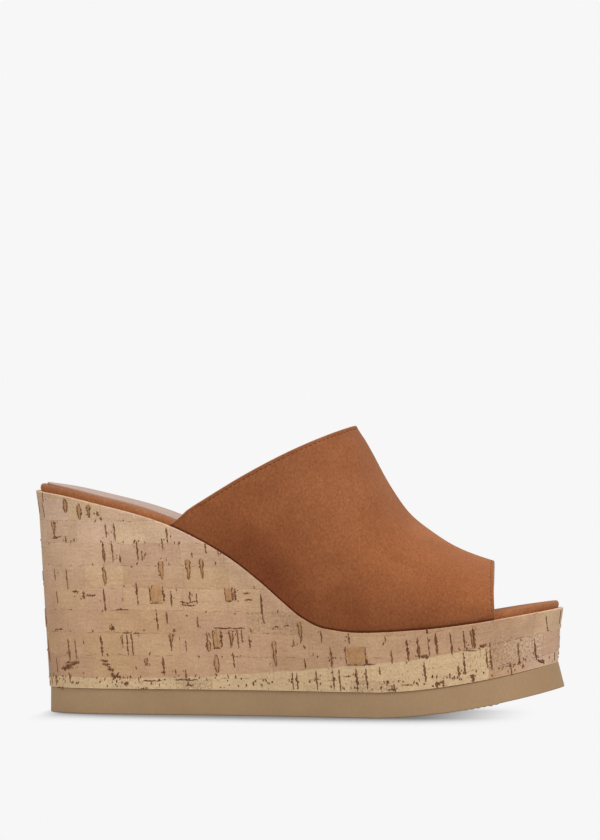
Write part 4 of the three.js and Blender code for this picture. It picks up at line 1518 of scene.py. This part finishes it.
# %% Relief of the suede
FOLD_WIDTH = 1.7
OPENING_FOLD = 1.35
FOLD_RISE = 0.10
FOLD_EDGE = (-0.5, 1.6)
CHANNEL_WIDTH = 0.5
CHANNEL_DEPTH = 0.16
FOOT_TUCK = 0.55
FOOT_BAND = 2.4
SMOOTH_AT_EDGE = 1.0
SMOOTH_AT_FOOT = 6
FAR = 99.0
TROUGHS = table("x z slope length width depth", [
    (92, 84, 34, 60, 9, 0.75), (118, 72, 52, 46, 8, 0.65), (136, 62, 118, 40, 9, 0.60),
    (136, 110, 108, 40, 6, 0.45), (168, 60, 150, 42, 9, 0.55), (104, 58, 140, 40, 8, 0.60),
    (190, 56, 95, 26, 5, 0.35), (84, 78, 150, 30, 7, -0.50), (128, 92, 60, 36, 9, -0.60),
    (158, 74, 20, 40, 11, -0.60), (145, 112, 108, 44, 6, -0.60), (112, 100, 30, 44, 6, 0.40),
    (150, 86, 135, 36, 7, 0.40),
])


def gradient_normals(points):
    """Outward unit normals of a grid, from the differences between neighbours."""
    down, over = np.gradient(points, axis=0), np.gradient(points, axis=1)
    normal = np.cross(down, over)
    return normal / np.linalg.norm(normal, axis=-1, keepdims=True)


def trough_relief(points):
    """The sum of the soft troughs, on the outer side, each a bell across and a bell along."""
    total = np.zeros(points.shape[:2])
    for x, z, slope, length, width, depth in zip(*TROUGHS.values()):
        direction = math.radians(slope)
        dx, dz = points[..., 0] - x, points[..., 2] - z
        along_line = dx * math.cos(direction) + dz * math.sin(direction)
        off_line = dz * math.cos(direction) - dx * math.sin(direction)
        total -= depth * np.exp(-(along_line / length * 2) ** 2 - (off_line / width) ** 2)
    return total


def edge_relief(distance, fold):
    """A raised fold up to its width, then the channel that the thread pulls in."""
    raised = FOLD_RISE * (1 - smoothstep(distance - fold, *FOLD_EDGE))
    channel = CHANNEL_DEPTH * np.exp(-((distance - fold) / CHANNEL_WIDTH) ** 2)
    return raised - channel


def upper_faces():
    """The outer and the inner face of the upper's wall."""
    flat = upper_point(row_x, turns[None, :])
    normal = gradient_normals(flat)
    far = np.full(len(row_x) - len(band), FAR)
    from_collar = np.concatenate([band, far])[:, None]
    from_opening = np.concatenate([far, band[::-1]])[:, None]
    lift = edge_relief(from_collar, FOLD_WIDTH) + edge_relief(from_opening, OPENING_FOLD)
    from_edge = np.minimum(from_collar, from_opening)
    lift = lift + trough_relief(flat) * smoothstep(from_edge, SMOOTH_AT_EDGE, EDGE_BAND)
    above_foot = flat[..., 2] - lip_height(row_x / LENGTH) - CLEARANCE
    lift = lift * smoothstep(above_foot, 0, SMOOTH_AT_FOOT)
    lift = lift - FOOT_TUCK * (1 - np.clip(above_foot / FOOT_BAND, 0, 1)) ** 2
    faces = flat + normal * lift[..., None], flat - normal * WALL
    for face in faces:
        face[:, [0, -1], 2] = lip_height(face[:, [0, -1], 0] / LENGTH) + RESTING_GAP
    return faces


# the suede is folded over the edge as far as this row of the half round, and the lining takes on there
ROUND_STEPS = 8
EDGE_SPLIT = 2


def suede_map(points):
    """The upper's map: length along the shoe, and height above the lip."""
    above = points[..., 2] - lip_height(points[..., 0] / LENGTH)
    return np.stack([points[..., 0], above], -1)


def rounded_edge(outer, inner, inside_outer):
    """A half round between the two faces at a free edge, bulging away from the row inside it."""
    turn = np.linspace(0, np.pi, ROUND_STEPS + 1)[:, None, None]
    centre, arm = (outer + inner) / 2, (outer - inner) / 2
    away = outer - inside_outer
    away /= np.linalg.norm(away, axis=-1, keepdims=True)
    reach = np.linalg.norm(arm, axis=-1, keepdims=True)
    bulge = away * reach * ROUND_REACH / (WALL / 2)
    return centre + arm * np.cos(turn) + bulge * np.sin(turn)


def upper_grids():
    """Outer suede, the two rounded edges, the lining, the strips under both feet and the corners' fans."""
    outer, inner = upper_faces()
    collar_edge = rounded_edge(outer[0], inner[0], outer[1])
    opening_edge = rounded_edge(outer[-1], inner[-1], outer[-2])
    grids = [(outer, suede_map(outer), 0), (inner, suede_map(inner), 1)]
    for roll in (collar_edge, opening_edge):
        folded, lined = roll[: EDGE_SPLIT + 1], roll[EDGE_SPLIT:]
        grids += [(folded, suede_map(folded), 0), (lined, suede_map(lined), 1)]
    for column in (0, -1):
        foot = np.stack([outer[:, column], inner[:, column]], 1)
        grids.append((foot, suede_map(foot), 1))
        for roll in (collar_edge, opening_edge):
            fan = np.stack([roll[:, column], np.broadcast_to(roll[0, column], roll[:, column].shape)], 1)
            grids.append((fan, suede_map(fan), 1))
    return grids, outer


upper_parts, outer_face = upper_grids()
make_piece("suede_upper", upper_parts, [upper_suede, lining_leather], "upper")


# %% [markdown]
# ## Stitches
# A lockstitch shows as a row of short threads with a small gap between them. Each is a flattened bead laid
# along the channel, sunk to half its height. The row on the surface that runs through the channel gives
# the path, and walking along it at an even pitch gives the places.

# %% Stitches along the collar and the toe opening
STITCH_RING = 6
STITCH_ROWS = 6
STITCH_TAPER = 0.6
STITCH_STEP = 0.3
FREE_TURNS = 3
# pitch, length, width and height of a stitch
COLLAR_STITCH = (2.2, 1.2, 0.42, 0.3)
OPENING_STITCH = (2.35, 1.4, 0.5, 0.34)


def stitch_row(name, row, stitch, material):
    """Beads along a row of the upper: each point is middle + along a sine + a flattened ring round it."""
    pitch, length, width, height = stitch
    path, normals = outer_face[row, FREE_TURNS:-FREE_TURNS], face_normals[row, FREE_TURNS:-FREE_TURNS]
    walked = np.concatenate([[0], np.cumsum(np.linalg.norm(np.diff(path, axis=0), axis=1))])
    places = np.arange(pitch, walked[-1] - pitch, pitch)

    def at(distance, values):
        return np.stack([np.interp(distance, walked, values[:, k]) for k in range(3)], -1)

    centre, normal = at(places, path), at(places, normals)
    tangent = at(places + STITCH_STEP, path) - at(places - STITCH_STEP, path)
    tangent /= np.linalg.norm(tangent, axis=1, keepdims=True)
    normal -= tangent * (normal * tangent).sum(1, keepdims=True)
    normal /= np.linalg.norm(normal, axis=1, keepdims=True)
    side = np.cross(normal, tangent)
    slide = np.linspace(-np.pi / 2, np.pi / 2, STITCH_ROWS + 1)
    around = np.linspace(0, 2 * np.pi, STITCH_RING + 1)
    thick = np.cos(slide)[:, None, None] ** STITCH_TAPER
    thick[[0, -1]] = 0
    beads = []
    for middle, tan_dir, norm_dir, side_dir in zip(centre, tangent, normal, side):
        ring = (side_dir * np.cos(around)[None, :, None] * width / 2
                + norm_dir * np.sin(around)[None, :, None] * height / 2)
        bead = middle + tan_dir * (np.sin(slide) * length / 2)[:, None, None] + ring * thick
        beads.append((bead, plain_map(bead), 0))
    print(name, "has", len(places), "stitches")
    make_piece(name, beads, [material])


face_normals = gradient_normals(outer_face)
collar_row = int(np.argmin(np.abs(band - FOLD_WIDTH)))
opening_row = len(row_x) - 1 - int(np.argmin(np.abs(band - OPENING_FOLD)))
stitch_row("collar_stitches", collar_row, COLLAR_STITCH, collar_thread)
stitch_row("opening_stitches", opening_row, OPENING_STITCH, opening_thread)

# %% [markdown]
# ## Camera, floor and light
# The photograph is taken from far away and square to the shoe, a little towards the toe, under soft light
# in a white room. The background and the floor have one even tone, so both give off that tone by
# themselves, and the floor only darkens where the sole nearly touches it. A wide soft lamp from the toe's
# side and above gives the suede its lighter front, and together with the shade painted into the suede, its
# darker waist.

# %% Camera
FARTHEST_SEEN = 100

camera_data = bpy.data.cameras.new("Camera")
camera_data.lens = LENS
camera_data.sensor_width = SENSOR
camera_data.clip_end = FARTHEST_SEEN
camera = bpy.data.objects.new("Camera", camera_data)
bpy.context.scene.collection.objects.link(camera)
towards = Vector(forward.tolist()).to_track_quat("-Z", "Y").to_matrix()
camera.matrix_world = (Matrix.Translation(Vector((camera_place * MM).tolist()))
                       @ (towards @ Matrix.Rotation(CAMERA_ROLL, 3, "Z")).to_4x4())
bpy.context.scene.camera = camera
print("camera at", [round(value, 3) for value in camera.location])

# %% Floor with a narrow contact shadow
BACKGROUND = srgb(247, 247, 247)
CONTACT_REACH = 0.07
CONTACT_SAMPLES = 16
# where the shadow starts to fade and is gone, in millimetres from the middle of the shoe
SHADOW_TOE_END = (50, 106)
SHADOW_HEEL_END = (-101, -115.5)
# the shadow's tones from shut in to open
SHADOW_TONES = [
    (0.15, srgb(126, 125, 124)), (0.50, srgb(136, 135, 134)), (0.62, srgb(160, 159, 158)),
    (0.75, srgb(205, 205, 205)), (0.88, srgb(236, 236, 236)), (1.0, BACKGROUND)]
FLOOR_LIGHT = 0.42
FLOOR_SIZE = 40

floor_mesh = bpy.data.meshes.new("Floor")
floor_corners = [(-1, -1), (1, -1), (1, 1), (-1, 1)]
floor_mesh.from_pydata([(x * FLOOR_SIZE, y * FLOOR_SIZE, 0) for x, y in floor_corners], [], [(0, 1, 2, 3)])
floor = bpy.data.objects.new("Floor", floor_mesh)
bpy.context.scene.collection.objects.link(floor)
floor_finish = bpy.data.materials.new("Pale floor")
floor_finish.use_nodes = True
floor_tree = floor_finish.node_tree
floor_tree.nodes.remove(floor_tree.nodes["Principled BSDF"])
glow = floor_tree.nodes.new("ShaderNodeEmission")
near = floor_tree.nodes.new("ShaderNodeAmbientOcclusion")
near.samples = CONTACT_SAMPLES
near.inputs["Distance"].default_value = CONTACT_REACH
shadow_tone = ramp(floor_tree, near.outputs["AO"], SHADOW_TONES)
floor_x = axes(floor_tree, object_place(floor_tree))[0]
past_toe = ranged(floor_tree, floor_x, *SHADOW_TOE_END)
past_heel = ranged(floor_tree, floor_x, *SHADOW_HEEL_END)
past_ends = maths(floor_tree, "MAXIMUM", past_toe, past_heel)
feed(floor_tree, glow.inputs["Color"], blended(floor_tree, past_ends, shadow_tone, BACKGROUND))
seen = floor_tree.nodes.new("ShaderNodeLightPath").outputs["Is Camera Ray"]
feed(floor_tree, glow.inputs["Strength"], ranged(floor_tree, seen, 0.0, 1.0, FLOOR_LIGHT, 1.0))
feed(floor_tree, floor_tree.nodes["Material Output"].inputs["Surface"], glow.outputs[0])
floor_mesh.materials.append(floor_finish)

# %% World and lamps
ROOM_LIGHT = 0.52
LAMP_AIM = Vector((0, 0, 0.06))
LAMPS = table("x y z size watts", [
    (1.9, -2.3, 4.0, 2.4, 105), (-2.5, -3.6, 1.4, 2.6, 42), (0.4, 3.0, 3.2, 2.4, 40),
])

world = bpy.data.worlds.new("White room")
world.use_nodes = True
bpy.context.scene.world = world
room = world.node_tree
backdrop = room.nodes["Background"]
backdrop.inputs["Color"].default_value = BACKGROUND
light_path = room.nodes.new("ShaderNodeLightPath").outputs["Is Camera Ray"]
feed(room, backdrop.inputs["Strength"], ranged(room, light_path, 0.0, 1.0, ROOM_LIGHT, 1.0))

for number, (x, y, z, size, watts) in enumerate(zip(*LAMPS.values())):
    lamp_data = bpy.data.lights.new(f"Lamp {number}", "AREA")
    lamp_data.energy = watts
    lamp_data.size = size
    lamp = bpy.data.objects.new(f"Lamp {number}", lamp_data)
    lamp.location = (x, y, z)
    lamp.rotation_euler = (LAMP_AIM - lamp.location).to_track_quat("-Z", "Y").to_euler()
    bpy.context.scene.collection.objects.link(lamp)
bpy.context.scene.view_settings.view_transform = "Standard"
bpy.context.scene.view_settings.look = "None"
